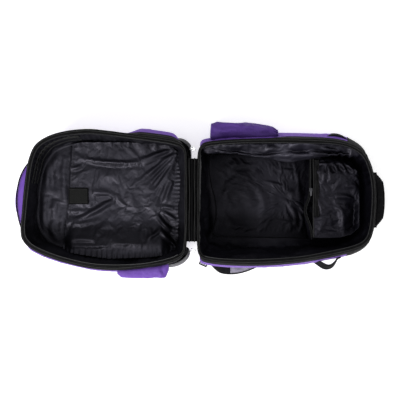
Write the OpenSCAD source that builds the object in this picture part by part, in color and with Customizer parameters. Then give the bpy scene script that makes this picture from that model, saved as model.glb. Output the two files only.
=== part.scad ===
// Clamshell backpack for one bowling ball, lying on its back with the lid opened flat.
// Frame: +Z up, origin in the middle of the back padding's resting face on the ground,
// +X towards the haul handle, -X towards the lid's free end, Y across the bag.
// The shapes are drawn from the lid's fold line (x = 0), and place() moves them into the frame.

/* [Rim outline] */
// Distance from the fold line to the near edge of each rim
rim_near = 14; // [12:1:18]
// Distance from the fold line to the far edge of each rim
rim_far = 514; // [480:2:540]
// Half width of the rim at its widest point
rim_half = 188; // [176:1:196]
// Radius of the long side arcs
side_r = 660; // [600:10:720]
// Distance from the fold line to the widest point
wide_x = 240; // [220:5:260]
// Radius of the far end arc
end_r = 330; // [300:10:380]
// Radius of the two far corners
far_corner_r = 84; // [76:2:92]
// Radius of the two corners beside the fold line
near_corner_r = 24; // [22:1:26]

/* [Depths] */
// Height of the rim plane above the ground
rim_z = 160; // [156:1:166]
// Height of the back panel above the ground
back_z = 16; // [16:1:18]
// Height of the lid's front panel above the ground when the lid is open
front_z = 62; // [60:1:64]
// Thickness of the outer fabric panels
panel_t = 2; // [1.6:0.1:2.2]
// Thickness of the foam between panel and lining
foam_t = 4.6; // [4:0.1:5]
// Thickness of the lining fabric
lining_t = 1.2; // [1:0.1:1.4]

/* [Ball cup and accessory pocket] */
// Distance from the fold line to the middle of the ball cup
cup_x = 156; // [150:1:164]
// Radius of the ball cup's centre line
cup_r = 64; // [60:1:68]
// Distance from the fold line to the accessory pocket's wall
acc_x = 352; // [346:1:356]
// Height of the accessory pocket's cover above the ground
acc_z = 100; // [96:1:104]

/* [Zip] */
// Width of the main sliders along the chain
slider_l = 15; // [14:0.5:15]
// Where the accessory slider stands along its zip
acc_slider_y = 30; // [10:1:60]

/* [Handle and straps] */
// Half the length of the haul handle
handle_half = 66; // [62:1:70]
// How far the haul handle stands out of the end panel
handle_out = 30; // [26:1:34]
// Width of the webbing on loops and straps
webbing_w = 25; // [22:1:25]
// Width of the padded shoulder straps
strap_w = 62; // [56:1:64]

/* [Hidden] */
$fn = 32;
origin_x = 188; // from the fold line to the middle of the back padding
module place() translate([-origin_x, 0, 0]) children();
yo = rim_half - side_r; // side arc centre, +Y side
chain_x = rim_near + 20; // where the zip chain starts
function side_y(x, o) = yo + sqrt(pow(side_r + o, 2) - pow(x - wide_x, 2)); // side of the bag at x, o outside the rim

// ---------- outline of a rim, offset outwards by o; every arc stays concentric ----------
function cc(p, rp, q, rq) = // left-hand intersection of two circles
    let (d = norm(q - p), a = (rp * rp - rq * rq + d * d) / (2 * d), h = sqrt(rp * rp - a * a), u = (q - p) / d)
    p + a * u + h * [-u[1], u[0]];
function arcp(c, r, a0, a1, n, skip = 0) = [for (i = [skip:n]) let (a = a0 + (a1 - a0) * i / n) c + r * [cos(a), sin(a)]];
function ang(v) = atan2(v[1], v[0]);

NE = 4; // points on half the far end
NC = 6; // points on a far corner
NS = 12; // points on a side
NN = 5; // points on a near corner
NH = NE + NC + NS + NN;
// half outline on the +Y side, from the far tip to the near corner, index 0..NH
function half(near, far, hw, rs, re, rf, rn, o = 0) =
    let (
        yc = hw - rs,
        S = [wide_x, yc],
        E = [far - re, 0],
        C2 = cc(E, re - rf, S, rs - rf) [1] > 0 ? cc(E, re - rf, S, rs - rf) : cc(S, rs - rf, E, re - rf),
        C1 = [near + rn, yc + sqrt(pow(rs - rn, 2) - pow(near + rn - wide_x, 2))],
        b1 = ang(C2 - E), b2 = ang(C2 - S), b3 = ang(C1 - S)
    )
    concat(
        arcp(E, re + o, 0, b1, NE),
        arcp(C2, rf + o, b1, b2, NC, 1),
        arcp(S, rs + o, b2, b3, NS, 1),
        arcp(C1, rn + o, b3, 180, NN, 1));
// full loop, far tip -> +Y side -> fold edge -> -Y side
function loop_of(h) = concat(h, [for (i = [len(h) - 1:-1:1]) [h[i][0], -h[i][1]]]);
function rim_half_pts(o, dn = 0) = half(rim_near + dn, rim_far, rim_half, side_r, end_r, far_corner_r, near_corner_r, o);
function rim_loop(o, dn = 0) = loop_of(rim_half_pts(o, dn));
// an inner outline that is inset by s at the sides, n at the fold edge and f at the far end
function inset_loop(s, n, f, rn = 26, rf = 70) = loop_of(half(rim_near + n, rim_far - f, rim_half - s, side_r, end_r, rf, rn));
N = 2 * NH + 1;
I1 = NE + NC; // far corner meets the side
I2 = NE + NC + NS; // side meets the near corner

// ---------- solids between two stacks of loops ----------
function at_z(l, z) = [for (p = l) [p[0], p[1], z]];
function flat1(a) = [for (x = a) for (y = x) y];
// wall patch over loop indices i0..i1; outer and inner are equal-length stacks of 3-D loops, bottom ring first
module patch(outer, inner, i0, i1) {
    m = i1 - i0 + 1;
    k = len(outer);
    idx = [for (i = [i0:i1]) (i % N + N) % N];
    vo = flat1([for (r = outer) [for (i = idx) r[i]]]);
    vi = flat1([for (r = inner) [for (i = idx) r[i]]]);
    q = m * k;
    faces = concat(
        flat1([for (r = [0:k - 2]) for (i = [0:m - 2]) let (a = r * m + i, b = a + 1, c = a + m + 1, d = a + m) [[a, c, b], [a, d, c]]]),
        flat1([for (r = [0:k - 2]) for (i = [0:m - 2]) let (a = q + r * m + i, b = a + 1, c = a + m + 1, d = a + m) [[a, b, c], [a, c, d]]]),
        flat1([for (i = [0:m - 2]) [[i, i + 1, q + i + 1], [i, q + i + 1, q + i]]]),
        flat1([for (i = [0:m - 2]) let (a = (k - 1) * m + i) [[a, q + a + 1, a + 1], [a, q + a, q + a + 1]]]),
        flat1([for (r = [0:k - 2]) let (a = r * m) [[a, q + a + m, a + m], [a, q + a, q + a + m]]]),
        flat1([for (r = [0:k - 2]) let (a = r * m + m - 1) [[a, a + m, q + a + m], [a, q + a + m, q + a]]]));
    polyhedron(concat(vo, vi), faces);
}
// open bowl between an outer and an inner stack, both closed below, bottom ring first
module bowl(outer, inner) {
    k = len(outer);
    vo = flat1(outer);
    vi = flat1(inner);
    q = N * k;
    faces = concat(
        flat1([for (r = [0:k - 2]) for (i = [0:N - 1]) let (a = r * N + i, b = r * N + (i + 1) % N, c = b + N, d = a + N) [[a, c, b], [a, d, c]]]),
        flat1([for (r = [0:k - 2]) for (i = [0:N - 1]) let (a = q + r * N + i, b = q + r * N + (i + 1) % N, c = b + N, d = a + N) [[a, b, c], [a, c, d]]]),
        flat1([for (i = [0:N - 1]) let (a = (k - 1) * N + i, b = (k - 1) * N + (i + 1) % N) [[a, q + b, b], [a, q + a, q + b]]]),
        [[for (i = [0:N - 1]) i]],
        [[for (i = [N - 1:-1:0]) q + i]]);
    polyhedron(concat(vo, vi), faces);
}
module ring_plate(o1, o0, z0, z1, dn = 0) // flat ring between two offsets of the rim
    translate([0, 0, z0]) linear_extrude(z1 - z0) difference() {
        polygon(rim_loop(o1, dn));
        polygon(rim_loop(o0, dn));
    }
module slab(l, z0, z1) translate([0, 0, z0]) linear_extrude(z1 - z0) polygon(l);
module to_lid() mirror([1, 0, 0]) children(); // the lid is drawn on the body's side and mirrored over the fold

// ---------- wall profiles: [z, outward offset, extra distance of the fold edge] ----------
BODY_P = [[back_z + 0.2, -15, 12], [28, -3, 9], [52, 8, 6], [86, 14, 4], [116, 10, 2], [131.6, 4.6, 1]];
LID_P = [[front_z + 0.2, -14, 10], [72, -2, 7], [92, 8, 4], [114, 8, 2], [131.6, 4.6, 1]];
function wall_rings(p, t) = [for (s = p) at_z(rim_loop(s[1] - t, s[2]), s[0])];
module walls(p, t0, t1, i0, i1) patch(wall_rings(p, t0), wall_rings(p, t1), i0, i1);

module chain_part(o1, o0, z0, z1) difference() { // the chain ends at the two corners beside the fold
    ring_plate(o1, o0, z0, z1);
    translate([-50, -300, z0 - 1]) cube([chain_x + 50, 600, z1 - z0 + 2]);
}
module band(p) { // zip band, the black strip that carries the zip
    patch([at_z(rim_loop(4.6, 1), 132), at_z(rim_loop(3, 0.5), 147)], [at_z(rim_loop(2.6, 1), 132), at_z(rim_loop(1, 0.5), 147)], -NH - 1, 0);
    patch([at_z(rim_loop(4.6, 1), 132), at_z(rim_loop(3, 0.5), 147)], [at_z(rim_loop(2.6, 1), 132), at_z(rim_loop(1, 0.5), 147)], 0, NH);
}
module foam_walls(p) {
    q = [for (s = p) [max(s[0], p[0][0] + 6), s[1] - 2.6, s[2]]];
    patch(wall_rings(q, 0), wall_rings(q, foam_t), -I1, I1);
    patch(wall_rings(q, 0), wall_rings(q, foam_t), I1, I2);
    patch(wall_rings(q, 0), wall_rings(q, foam_t), N - I2, N - I1);
}
module lining(z0, ztop = 146) {
    h = ztop - z0;
    L = [[z0, 50, 24, 52], [z0 + 6, 32, 18, 36], [z0 + 18, 20, 12, 24], [z0 + 0.5 * h, 9, 8, 12], [ztop, 5, 4, 6]];
    bowl([for (s = L) at_z(inset_loop(s[1], s[2], s[3]), s[0])],
        [for (i = [0:len(L) - 1]) let (s = L[i]) at_z(inset_loop(s[1] + lining_t, s[2] + lining_t, s[3] + lining_t), s[0] + (i == 0 ? lining_t : 0))]);
}

// ---------- small hardware ----------
module slider_body() { // straddles the chain; chain runs along X, outward is +Y, centre of the chain at the origin
    l = slider_l / 2;
    difference() {
        union() {
            for (s = [1, -1]) translate([0, s * 3.1, 0]) rotate([90, 0, 0]) linear_extrude(2, center = true)
                polygon([[-l, -6.5], [-l + 3, -8.5], [l - 2, -8.5], [l, -6], [l, 6], [l - 2, 8.5], [-l + 3, 8.5], [-l, 6.5]]);
            translate([l - 3.2, 0, 0]) cube([5.4, 5, 1.6], center = true); // bridge between the plates
            for (s = [1, -1]) translate([s * 3.5, 6.2, 0]) cube([2, 4.8, 4.6], center = true); // lugs for the pull
            translate([0, 6.6, 0]) rotate([0, 90, 0]) cylinder(r = 0.9, h = 8, center = true, $fn = 24); // cross pin
        }
    }
}
module slider_pull(len = 27) { // hangs from the cross pin at the origin, towards -Z
    difference() {
        union() {
            rotate([0, 90, 0]) cylinder(r = 2, h = 3.6, center = true, $fn = 24);
            translate([0, 0, -6]) cube([3.6, 1.6, 9], center = true);
            translate([0, 0, -len + 10]) cube([8.6, 1.6, 17], center = true);
            translate([0, 0, -len + 1.5]) rotate([90, 0, 0]) cylinder(r = 4.3, h = 1.6, center = true, $fn = 24);
        }
        rotate([0, 90, 0]) cylinder(r = 1.2, h = 5, center = true, $fn = 24);
        translate([0, 0, -len + 3]) rotate([90, 0, 0]) cylinder(r = 1.8, h = 4, center = true, $fn = 24);
    }
}
// place a main slider: side = 1 for +Y, at distance x from the fold line, turned to the side arc's tangent
module on_zip(side, x) {
    a = asin((x - wide_x) / side_r);
    mirror([0, side > 0 ? 0 : 1, 0]) translate([wide_x + side_r * sin(a), yo + side_r * cos(a), rim_z]) rotate([0, 0, -a]) children();
}
module small_slider() { // slider lying flat; chain along X, face up, chain centre at the origin
    translate([0, 0, 1.9]) linear_extrude(1.4) polygon([[-5, -3], [-4, -4.4], [4, -4.4], [5, -3], [5, 3], [4, 4.4], [-4, 4.4], [-5, 3]]);
    for (s = [1, -1]) translate([0, s * 2.7, 4.6]) cube([2.6, 1.2, 3], center = true);
    translate([0, 0, 4.8]) rotate([90, 0, 0]) cylinder(r = 0.6, h = 5.6, center = true, $fn = 24);
}
module small_pull(len = 20) { // hinged on the small slider's pin at the origin, lying along -X
    difference() {
        union() {
            rotate([90, 0, 0]) cylinder(r = 1.35, h = 3, center = true, $fn = 24);
            translate([-4, 0, 0]) cube([6, 3, 1.1], center = true);
            translate([-len / 2 - 1, 0, 0]) cube([len - 7, 5.4, 1.1], center = true);
            translate([-len + 2.6, 0, 0]) cylinder(r = 2.7, h = 1.1, center = true, $fn = 24);
        }
        rotate([90, 0, 0]) cylinder(r = 0.85, h = 5, center = true, $fn = 24);
        translate([-len + 3, 0, 0]) cylinder(r = 1, h = 3, center = true, $fn = 24);
    }
}

// ---------- body: outer shell ----------
module side_panel_left() place() color([0.42, 0.25, 0.68]) walls(BODY_P, 0, panel_t, I1, I2);
module side_panel_right() place() color([0.42, 0.25, 0.68]) walls(BODY_P, 0, panel_t, N - I2, N - I1);
module top_end_panel() place() color([0.08, 0.08, 0.09]) walls(BODY_P, 0, panel_t, -I1, I1);
module bottom_end_panel() place() color([0.08, 0.08, 0.09]) walls(BODY_P, 0, panel_t, I2, N - I2);
module back_panel() place() color([0.08, 0.08, 0.09]) slab(rim_loop(-17.2, 12), back_z, back_z + 2);
module body_zip_band() place() color([0.06, 0.06, 0.07]) band(BODY_P);
module body_foam() place() color([0.3, 0.3, 0.3]) foam_walls(BODY_P);
module back_foam() place() color([0.3, 0.3, 0.3]) slab(inset_loop(34, 34, 34), back_z + 2.4, back_z + 6.4);
module back_stiffener() place() color([0.75, 0.75, 0.72]) slab(inset_loop(46, 30, 46), back_z + 6.8, back_z + 8.8);
module body_lining() place() color([0.1, 0.1, 0.12]) lining(back_z + 9.4);
module body_zip_chain() place() color([0.1, 0.1, 0.11]) { // tape with the teeth along its upper edge
    chain_part(0.6, -0.6, 140, 155.3);
    chain_part(1.5, -1.5, 155.6, 158.8);
}
module body_rim_binding() place() color([0.12, 0.12, 0.13]) ring_plate(-0.9, -2.9, 136, 149);
module hinge_strip() place() color([0.1, 0.1, 0.11]) translate([0.6, -112, 149.6]) cube([12.2, 224, 1.6]);

// ball cup: a foam ring sewn to the floor of the ball compartment
module ball_cup() place() color([0.1, 0.1, 0.12]) translate([cup_x, -6, back_z + 11]) rotate_extrude($fn = 64)
    polygon([for (a = [0:15:180]) [cup_r + 14 * cos(a), 14 * sin(a)]]);

// accessory pocket at the far end of the body
module accessory_wall() place() color([0.1, 0.1, 0.12]) translate([acc_x, 0, back_z + 19]) rotate([90, 0, 90])
    linear_extrude(3) polygon([[-128, 0], [128, 0], [154, acc_z - back_z - 22], [-154, acc_z - back_z - 22]]);
module accessory_cover() place() color([0.1, 0.1, 0.12]) difference() {
    intersection() {
        slab(inset_loop(20, 10, 24), acc_z, acc_z + 2.4);
        translate([acc_x + 8, -200, acc_z - 1]) cube([200, 400, 8]);
    }
}
module accessory_zip() place() color([0.08, 0.08, 0.09]) {
    translate([acc_x - 9, -50, acc_z - 2]) cube([15, 195, 0.9]);
    translate([acc_x - 3.6, -49, acc_z - 0.8]) cube([4, 193, 1.6]);
}
module accessory_slider() place() color([0.3, 0.3, 0.32]) translate([acc_x - 1.6, acc_slider_y, acc_z - 0.4]) rotate([0, 0, 90]) small_slider();
module accessory_pull() place() color([0.3, 0.3, 0.32]) translate([acc_x - 1.6, acc_slider_y, acc_z + 4.4]) rotate([0, 0, 90]) small_pull(18);

// bottle pocket on the +Y side, mouth towards the haul handle
PK_Z0 = 34;
PK_Z1 = 122;
module side_pocket() place() color([0.42, 0.25, 0.68]) difference() {
    translate([0, 0, PK_Z0]) linear_extrude(PK_Z1 - PK_Z0) polygon(concat([[60, 226], [66, 232], [150, 229], [238, 220], [246, 214]], [for (x = [246:-31:60]) [x, side_y(x, 15)]]));
    translate([0, 0, PK_Z0 + 2]) linear_extrude(PK_Z1 - PK_Z0 - 4) polygon(concat([[63, 224], [68, 229.4], [150, 226.6], [238, 217.6], [260, 211]], [for (x = [260:-39.4:63]) [x, side_y(x, 17)]]));
}
module side_pocket_elastic() place() color([0.06, 0.06, 0.07]) translate([246.6, side_y(246, 15), PK_Z0]) difference() {
    cube([6, 11, PK_Z1 - PK_Z0]);
    translate([-1, 2, 2]) cube([8, 7, PK_Z1 - PK_Z0 - 4]);
}

// webbing loops beside the far corners, sewn to the side panels at both ends
module loop_strap(h, w) translate([0, 0, -webbing_w / 2]) linear_extrude(webbing_w)
    polygon([[-w, 0], [-w * 0.5, h], [w * 0.6, h * 0.86], [w, 0], [w - 7, 0], [w * 0.48, h * 0.86 - 2.4], [-w * 0.44, h - 2.6], [-w + 7, 0]]);
module on_side(side, x, o, z) {
    mirror([0, side > 0 ? 0 : 1, 0]) translate([x, side_y(x, o), z]) rotate([0, 0, -asin((x - wide_x) / (side_r + o))]) children();
}
module side_loop_left() place() color([0.06, 0.06, 0.07]) on_side(1, 434, 14.6, 100) loop_strap(14, 29);
module side_loop_right() place() color([0.06, 0.06, 0.07]) on_side(-1, 391, 14.6, 100) loop_strap(17, 34);

// haul handle on the end panel: webbing bow, padded grip round its middle, a sewn anchor beside each end
HX = rim_far + 23;
HZ = back_z + 92;
function bow(t, k) = [(handle_out - 1 - k) * pow(cos(90 * t), 0.55 + 0.02 * k) - k, (handle_half - 1.3 * k) * t];
module haul_handle() place() color([0.07, 0.07, 0.08]) translate([HX, 0, HZ - 13]) linear_extrude(26) polygon(concat(
    [for (i = [-12:12]) bow(i / 12, 0)], [for (i = [12:-1:-12]) bow(i / 12, 3)]));
module haul_handle_grip() place() color([0.05, 0.05, 0.055]) translate([HX, 0, HZ - 15]) linear_extrude(30) polygon(concat(
    [for (i = [-7:7]) bow(i / 12, 0) + [3.6, 0]], [for (i = [7:-1:-7]) bow(i / 12, 0) + [0.8, 0]]));
module handle_anchors() place() color([0.06, 0.06, 0.07]) for (s = [1, -1]) translate([HX - 8.4, s * (handle_half + 8), HZ]) cube([16, 13, 18], center = true);

// ---------- back: pads and shoulder straps ----------
module back_pads() place() color([0.35, 0.34, 0.38]) linear_extrude(back_z - 0.3) union() {
    for (s = [1, -1]) translate([0, s * 46]) offset(r = 12) translate([80, -18]) square([216, 36]);
    translate([origin_x - 48, -34]) square([96, 68]); // cross pad
}
// centre line of a shoulder strap on the +Y side: yoke -> shoulder -> lower end
function bez(p, t) = pow(1 - t, 3) * p[0] + 3 * pow(1 - t, 2) * t * p[1] + 3 * (1 - t) * t * t * p[2] + t * t * t * p[3];
function bez_d(p, t) = 3 * pow(1 - t, 2) * (p[1] - p[0]) + 6 * (1 - t) * t * (p[2] - p[1]) + 3 * t * t * (p[3] - p[2]);
function ribbon(p, w0, w1, n = 16) = concat(
    [for (i = [0:n]) let (t = i / n, d = bez_d(p, t), u = d / norm(d), w = w0 + (w1 - w0) * t) bez(p, t) + w / 2 * [-u[1], u[0]]],
    [for (i = [n:-1:0]) let (t = i / n, d = bez_d(p, t), u = d / norm(d), w = w0 + (w1 - w0) * t) bez(p, t) - w / 2 * [-u[1], u[0]]]);
STRAP_L = [[436, 46], [350, 96], [250, 150], [96, 138]]; // hidden under the bag
STRAP_R = [[436, 46], [330, 118], [200, 262], [52, 196]]; // splayed out past the side
module strap_pad(p) translate([0, 0, 3]) linear_extrude(7.6) polygon(ribbon(p, strap_w - 8, strap_w - 18));
module strap_mesh(p) translate([0, 0, 10.8]) linear_extrude(2.4) polygon(ribbon(p, strap_w - 10, strap_w - 20));
module strap_buckle(p) { // ladder lock on the strap's lower end
    u = (p[3] - p[2]) / norm(p[3] - p[2]);
    translate([p[3][0], p[3][1], 3]) rotate([0, 0, ang(u)]) translate([3, 0, 0]) difference() {
        translate([0, -17, 0]) cube([26, 34, 7]);
        for (x = [4, 11, 18]) translate([x, -13, -1]) cube([4.4, 26, 9]);
    }
}
module lower_web(p) {
    u = (p[3] - p[2]) / norm(p[3] - p[2]);
    e = p[3] + 24 * u;
    a = [44, 130]; // sewn to the bag here
    n = webbing_w / 2 * [-(a - e)[1], (a - e)[0]] / norm(a - e);
    translate([0, 0, 0.8]) linear_extrude(1.6) polygon([e + n, e - n, a - n, a + n]);
}
module strap_pad_left() place() color([0.07, 0.07, 0.08]) strap_pad(STRAP_L);
module strap_mesh_left() place() color([0.5, 0.49, 0.55]) strap_mesh(STRAP_L);
module strap_buckle_left() place() color([0.05, 0.05, 0.055]) strap_buckle(STRAP_L);
module strap_webbing_left() place() color([0.06, 0.06, 0.07]) lower_web(STRAP_L);
module strap_pad_right() place() color([0.07, 0.07, 0.08]) mirror([0, 1, 0]) strap_pad(STRAP_R);
module strap_mesh_right() place() color([0.5, 0.49, 0.55]) mirror([0, 1, 0]) strap_mesh(STRAP_R);
module strap_buckle_right() place() color([0.05, 0.05, 0.055]) mirror([0, 1, 0]) strap_buckle(STRAP_R);
module strap_webbing_right() place() color([0.06, 0.06, 0.07]) mirror([0, 1, 0]) lower_web(STRAP_R);
module strap_yoke() place() color([0.06, 0.06, 0.07]) translate([410, -84, 13.6]) cube([56, 168, 2]);

// ---------- main sliders ----------
SL_X = 3;
module slider_left() place() color([0.75, 0.75, 0.76]) on_zip(1, SL_X) slider_body();
module slider_right() place() color([0.75, 0.75, 0.76]) on_zip(-1, SL_X) slider_body();
module pull_left() place() color([0.75, 0.75, 0.76]) on_zip(1, SL_X) translate([0, 6.6, 0]) slider_pull();
module pull_right() place() color([0.75, 0.75, 0.76]) on_zip(-1, SL_X) translate([0, 6.6, 0]) slider_pull();

// ---------- lid ----------
module lid_side_left() place() color([0.42, 0.25, 0.68]) to_lid() walls(LID_P, 0, panel_t, I1, I2);
module lid_side_right() place() color([0.42, 0.25, 0.68]) to_lid() walls(LID_P, 0, panel_t, N - I2, N - I1);
module lid_top_end() place() color([0.42, 0.25, 0.68]) to_lid() walls(LID_P, 0, panel_t, -I1, I1);
module lid_bottom_end() place() color([0.08, 0.08, 0.09]) to_lid() walls(LID_P, 0, panel_t, I2, N - I2);
module front_panel() place() color([0.42, 0.25, 0.68]) to_lid() slab(rim_loop(-16.2, 10), front_z, front_z + 2);
module lid_zip_band() place() color([0.06, 0.06, 0.07]) to_lid() band(LID_P);
module lid_foam() place() color([0.3, 0.3, 0.3]) to_lid() foam_walls(LID_P);
module lid_lining() place() color([0.1, 0.1, 0.12]) to_lid() lining(front_z + 3);
module lid_zip_chain() place() color([0.1, 0.1, 0.11]) to_lid() {
    chain_part(0.6, -0.6, 140, 155.3);
    chain_part(1.5, -1.5, 155.6, 158.8);
}
module lid_rim_binding() place() color([0.12, 0.12, 0.13]) to_lid() ring_plate(-0.9, -2.9, 136, 149);
module lid_hinge_strip() place() color([0.1, 0.1, 0.11]) translate([-12.8, -112, 149.6]) cube([12.2, 224, 1.6]);
module corner_guards() place() color([0.3, 0.29, 0.32]) to_lid() for (s = [0, 1]) {
    p = [for (r = LID_P) if (r[0] < 130) r];
    patch(wall_rings(p, -1.7), wall_rings(p, -0.3), s == 0 ? I2 - 2 : N - I2 - NN + 1, s == 0 ? I2 + NN - 1 : N - I2 + 2);
}
// slip pocket on the lid's inside: a loose sheet with a free edge and a hook-and-loop tab
module lid_pocket_sheet() place() color([0.12, 0.12, 0.14]) to_lid() intersection() {
    slab(inset_loop(36, 30, 40), front_z + 10, front_z + 11.4);
    translate([0, -200, front_z]) cube([374, 400, 20]);
}
module loop_patch() place() color([0.05, 0.05, 0.05]) translate([-370, -12, front_z + 7.4]) cube([50, 46, 1.6]);
module hook_tab() place() color([0.05, 0.05, 0.05]) translate([-370, -12, front_z + 12]) cube([58, 48, 2]);

// front pocket on the lid's outside
FP = [[28, -132], [28, 132], [60, 152], [400, 150], [470, 128], [516, 80], [530, 28], [530, -28], [516, -80], [470, -128], [400, -150], [60, -152]];
module pocket_form(w, x1) hull() { // t: how far the form is drawn in
    translate([0, 0, 34 - w / 2]) linear_extrude(12 + w) polygon([for (p = FP) [min(max(p[0], 28 + w), 532 - w), p[1] * (1 - w / 150)]]);
    translate([0, 0, 0.4 + w]) linear_extrude(x1) polygon([for (p = FP) [(p[0] * 0.92 + 20) * (1 - w / 290) + w * 0.6, p[1] * 0.84 * (1 - w / 130)]]);
}
module front_pocket() place() color([0.42, 0.25, 0.68]) to_lid() difference() { // open towards the front panel
    pocket_form(0, front_z - 1);
    pocket_form(3, front_z + 8);
}
module front_zip() place() color([0.08, 0.08, 0.09]) to_lid() {
    translate([90, 153.4, 30]) cube([300, 0.9, 22]);
    translate([92, 154.6, 39.2]) cube([296, 1.6, 4]);
}
module front_slider() place() color([0.3, 0.3, 0.32]) translate([-108, 155.4, 41.2]) rotate([-90, 0, 0]) small_slider();
module front_pull() place() color([0.3, 0.3, 0.32]) translate([-108, 160.2, 41.2]) rotate([-90, 0, 0]) small_pull(20);
// box pocket on the lid's -Y side
module lid_side_pocket() place() color([0.5, 0.33, 0.78]) to_lid() mirror([0, 1, 0]) difference() {
    translate([0, 0, 72]) linear_extrude(56) polygon(concat([[80, 214], [88, 228], [100, 236], [224, 234], [230, 228]], [for (x = [230:-30:80]) [x, side_y(x, 10.8)]]));
    translate([0, 0, 74]) linear_extrude(52) polygon(concat([[83, 213], [90, 226.4], [101, 233.4], [223, 231.4], [240, 226]], [for (x = [240:-31.4:83]) [x, side_y(x, 13)]]));
}

side_panel_left();
side_panel_right();
top_end_panel();
bottom_end_panel();
back_panel();
body_zip_band();
body_foam();
back_foam();
back_stiffener();
body_lining();
body_zip_chain();
body_rim_binding();
hinge_strip();
ball_cup();
accessory_wall();
accessory_cover();
accessory_zip();
accessory_slider();
accessory_pull();
side_pocket();
side_pocket_elastic();
side_loop_left();
side_loop_right();
haul_handle();
haul_handle_grip();
handle_anchors();
back_pads();
strap_yoke();
strap_pad_left();
strap_mesh_left();
strap_buckle_left();
strap_webbing_left();
strap_pad_right();
strap_mesh_right();
strap_buckle_right();
strap_webbing_right();
slider_left();
slider_right();
pull_left();
pull_right();
lid_side_left();
lid_side_right();
lid_top_end();
lid_bottom_end();
front_panel();
lid_zip_band();
lid_foam();
lid_lining();
lid_zip_chain();
lid_rim_binding();
lid_hinge_strip();
corner_guards();
lid_pocket_sheet();
loop_patch();
hook_tab();
front_pocket();
front_zip();
front_slider();
front_pull();
lid_side_pocket();
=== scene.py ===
import math
import bpy
import bmesh
import numpy as np
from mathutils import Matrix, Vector


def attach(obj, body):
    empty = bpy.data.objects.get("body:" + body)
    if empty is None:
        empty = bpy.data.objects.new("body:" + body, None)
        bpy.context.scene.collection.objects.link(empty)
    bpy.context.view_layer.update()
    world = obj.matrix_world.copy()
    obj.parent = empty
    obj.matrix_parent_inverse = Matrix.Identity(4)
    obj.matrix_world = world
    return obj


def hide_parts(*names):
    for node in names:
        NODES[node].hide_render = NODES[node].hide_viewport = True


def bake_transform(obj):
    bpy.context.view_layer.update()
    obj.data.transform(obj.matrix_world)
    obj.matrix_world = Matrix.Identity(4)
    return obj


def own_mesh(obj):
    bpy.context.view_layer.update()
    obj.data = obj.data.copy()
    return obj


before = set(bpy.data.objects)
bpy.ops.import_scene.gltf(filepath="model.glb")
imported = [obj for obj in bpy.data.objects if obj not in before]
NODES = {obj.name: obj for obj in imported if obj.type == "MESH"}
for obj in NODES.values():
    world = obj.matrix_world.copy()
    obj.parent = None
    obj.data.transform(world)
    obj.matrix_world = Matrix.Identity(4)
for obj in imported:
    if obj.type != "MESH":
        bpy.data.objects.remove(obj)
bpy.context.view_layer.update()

SC = bpy.context.scene
OX = 188.0                      # the fold line lies this far (mm) behind the frame's origin

# ------------------------------------------------------------------ helpers
def frac_noise(p, scale, seed=0):
    """Smooth value noise in -1..1 on points in mm."""
    q = np.asarray(p, float) / scale + 4096.5
    i = np.floor(q).astype(np.int64)
    f = q - i
    f = f * f * (3 - 2 * f)

    def h(dx, dy, dz):
        a = ((i[:, 0] + dx) * 374761393 + (i[:, 1] + dy) * 668265263 + (i[:, 2] + dz) * 2246822519 + seed * 3266489917) & 0xFFFFFFFF
        a = ((a ^ (a >> 13)) * 1274126177) & 0xFFFFFFFF
        a = a ^ (a >> 16)
        return a / 4294967295.0 * 2 - 1

    c = 0
    for dx in (0, 1):
        for dy in (0, 1):
            for dz in (0, 1):
                w = (f[:, 0] if dx else 1 - f[:, 0]) * (f[:, 1] if dy else 1 - f[:, 1]) * (f[:, 2] if dz else 1 - f[:, 2])
                c = c + w * h(dx, dy, dz)
    return c


def fbm(p, scale, seed=0, octaves=3):
    return sum(frac_noise(p, scale / 2 ** k, seed + 11 * k) / 2 ** k for k in range(octaves))


def sstep(a, b, x):
    t = np.clip((np.asarray(x, float) - a) / (b - a), 0, 1)
    return t * t * (3 - 2 * t)


def to_m(V):
    V = np.array(V, float).reshape(-1, 3)
    V[:, 0] -= OX
    return V / 1000


def make(name, V, F, mat, smooth=True, weld=0.0):
    me = bpy.data.meshes.new(name)
    me.from_pydata(to_m(V).tolist(), [], [tuple(int(i) for i in f) for f in F])
    me.update()
    if weld:
        bm = bmesh.new()
        bm.from_mesh(me)
        bmesh.ops.remove_doubles(bm, verts=bm.verts, dist=weld / 1000)
        bm.to_mesh(me)
        bm.free()
    me.validate()
    bm = bmesh.new()
    bm.from_mesh(me)
    bmesh.ops.recalc_face_normals(bm, faces=bm.faces)
    bm.to_mesh(me)
    bm.free()
    me.polygons.foreach_set("use_smooth", [smooth] * len(me.polygons))
    me.materials.append(mat)
    o = bpy.data.objects.new(name, me)
    SC.collection.objects.link(o)
    return o


def bake(o):
    """Applies the modifiers of o."""
    bpy.context.view_layer.update()
    dg = bpy.context.evaluated_depsgraph_get()
    me = bpy.data.meshes.new_from_object(o.evaluated_get(dg))
    old = o.data
    o.modifiers.clear()
    o.data = me
    bpy.data.meshes.remove(old)
    return o


def solid(o, th, offset=0.0, levels=0, bevel=0.0):
    m = o.modifiers.new("solid", "SOLIDIFY")
    m.thickness = th / 1000
    m.offset = offset
    m.use_even_offset = False
    if bevel:
        b = o.modifiers.new("bevel", "BEVEL")
        b.width = bevel / 1000
        b.segments = 2
    if levels:
        s = o.modifiers.new("sub", "SUBSURF")
        s.levels = s.render_levels = levels
    return bake(o)


def subdiv(o, levels=1):
    s = o.modifiers.new("sub", "SUBSURF")
    s.levels = s.render_levels = levels
    return bake(o)


def done(o, body, nodes=(), squash=False):
    """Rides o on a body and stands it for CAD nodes."""
    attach(o, body)
    if nodes:
        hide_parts(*nodes)
    if squash:
        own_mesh(o)
    return o


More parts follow.
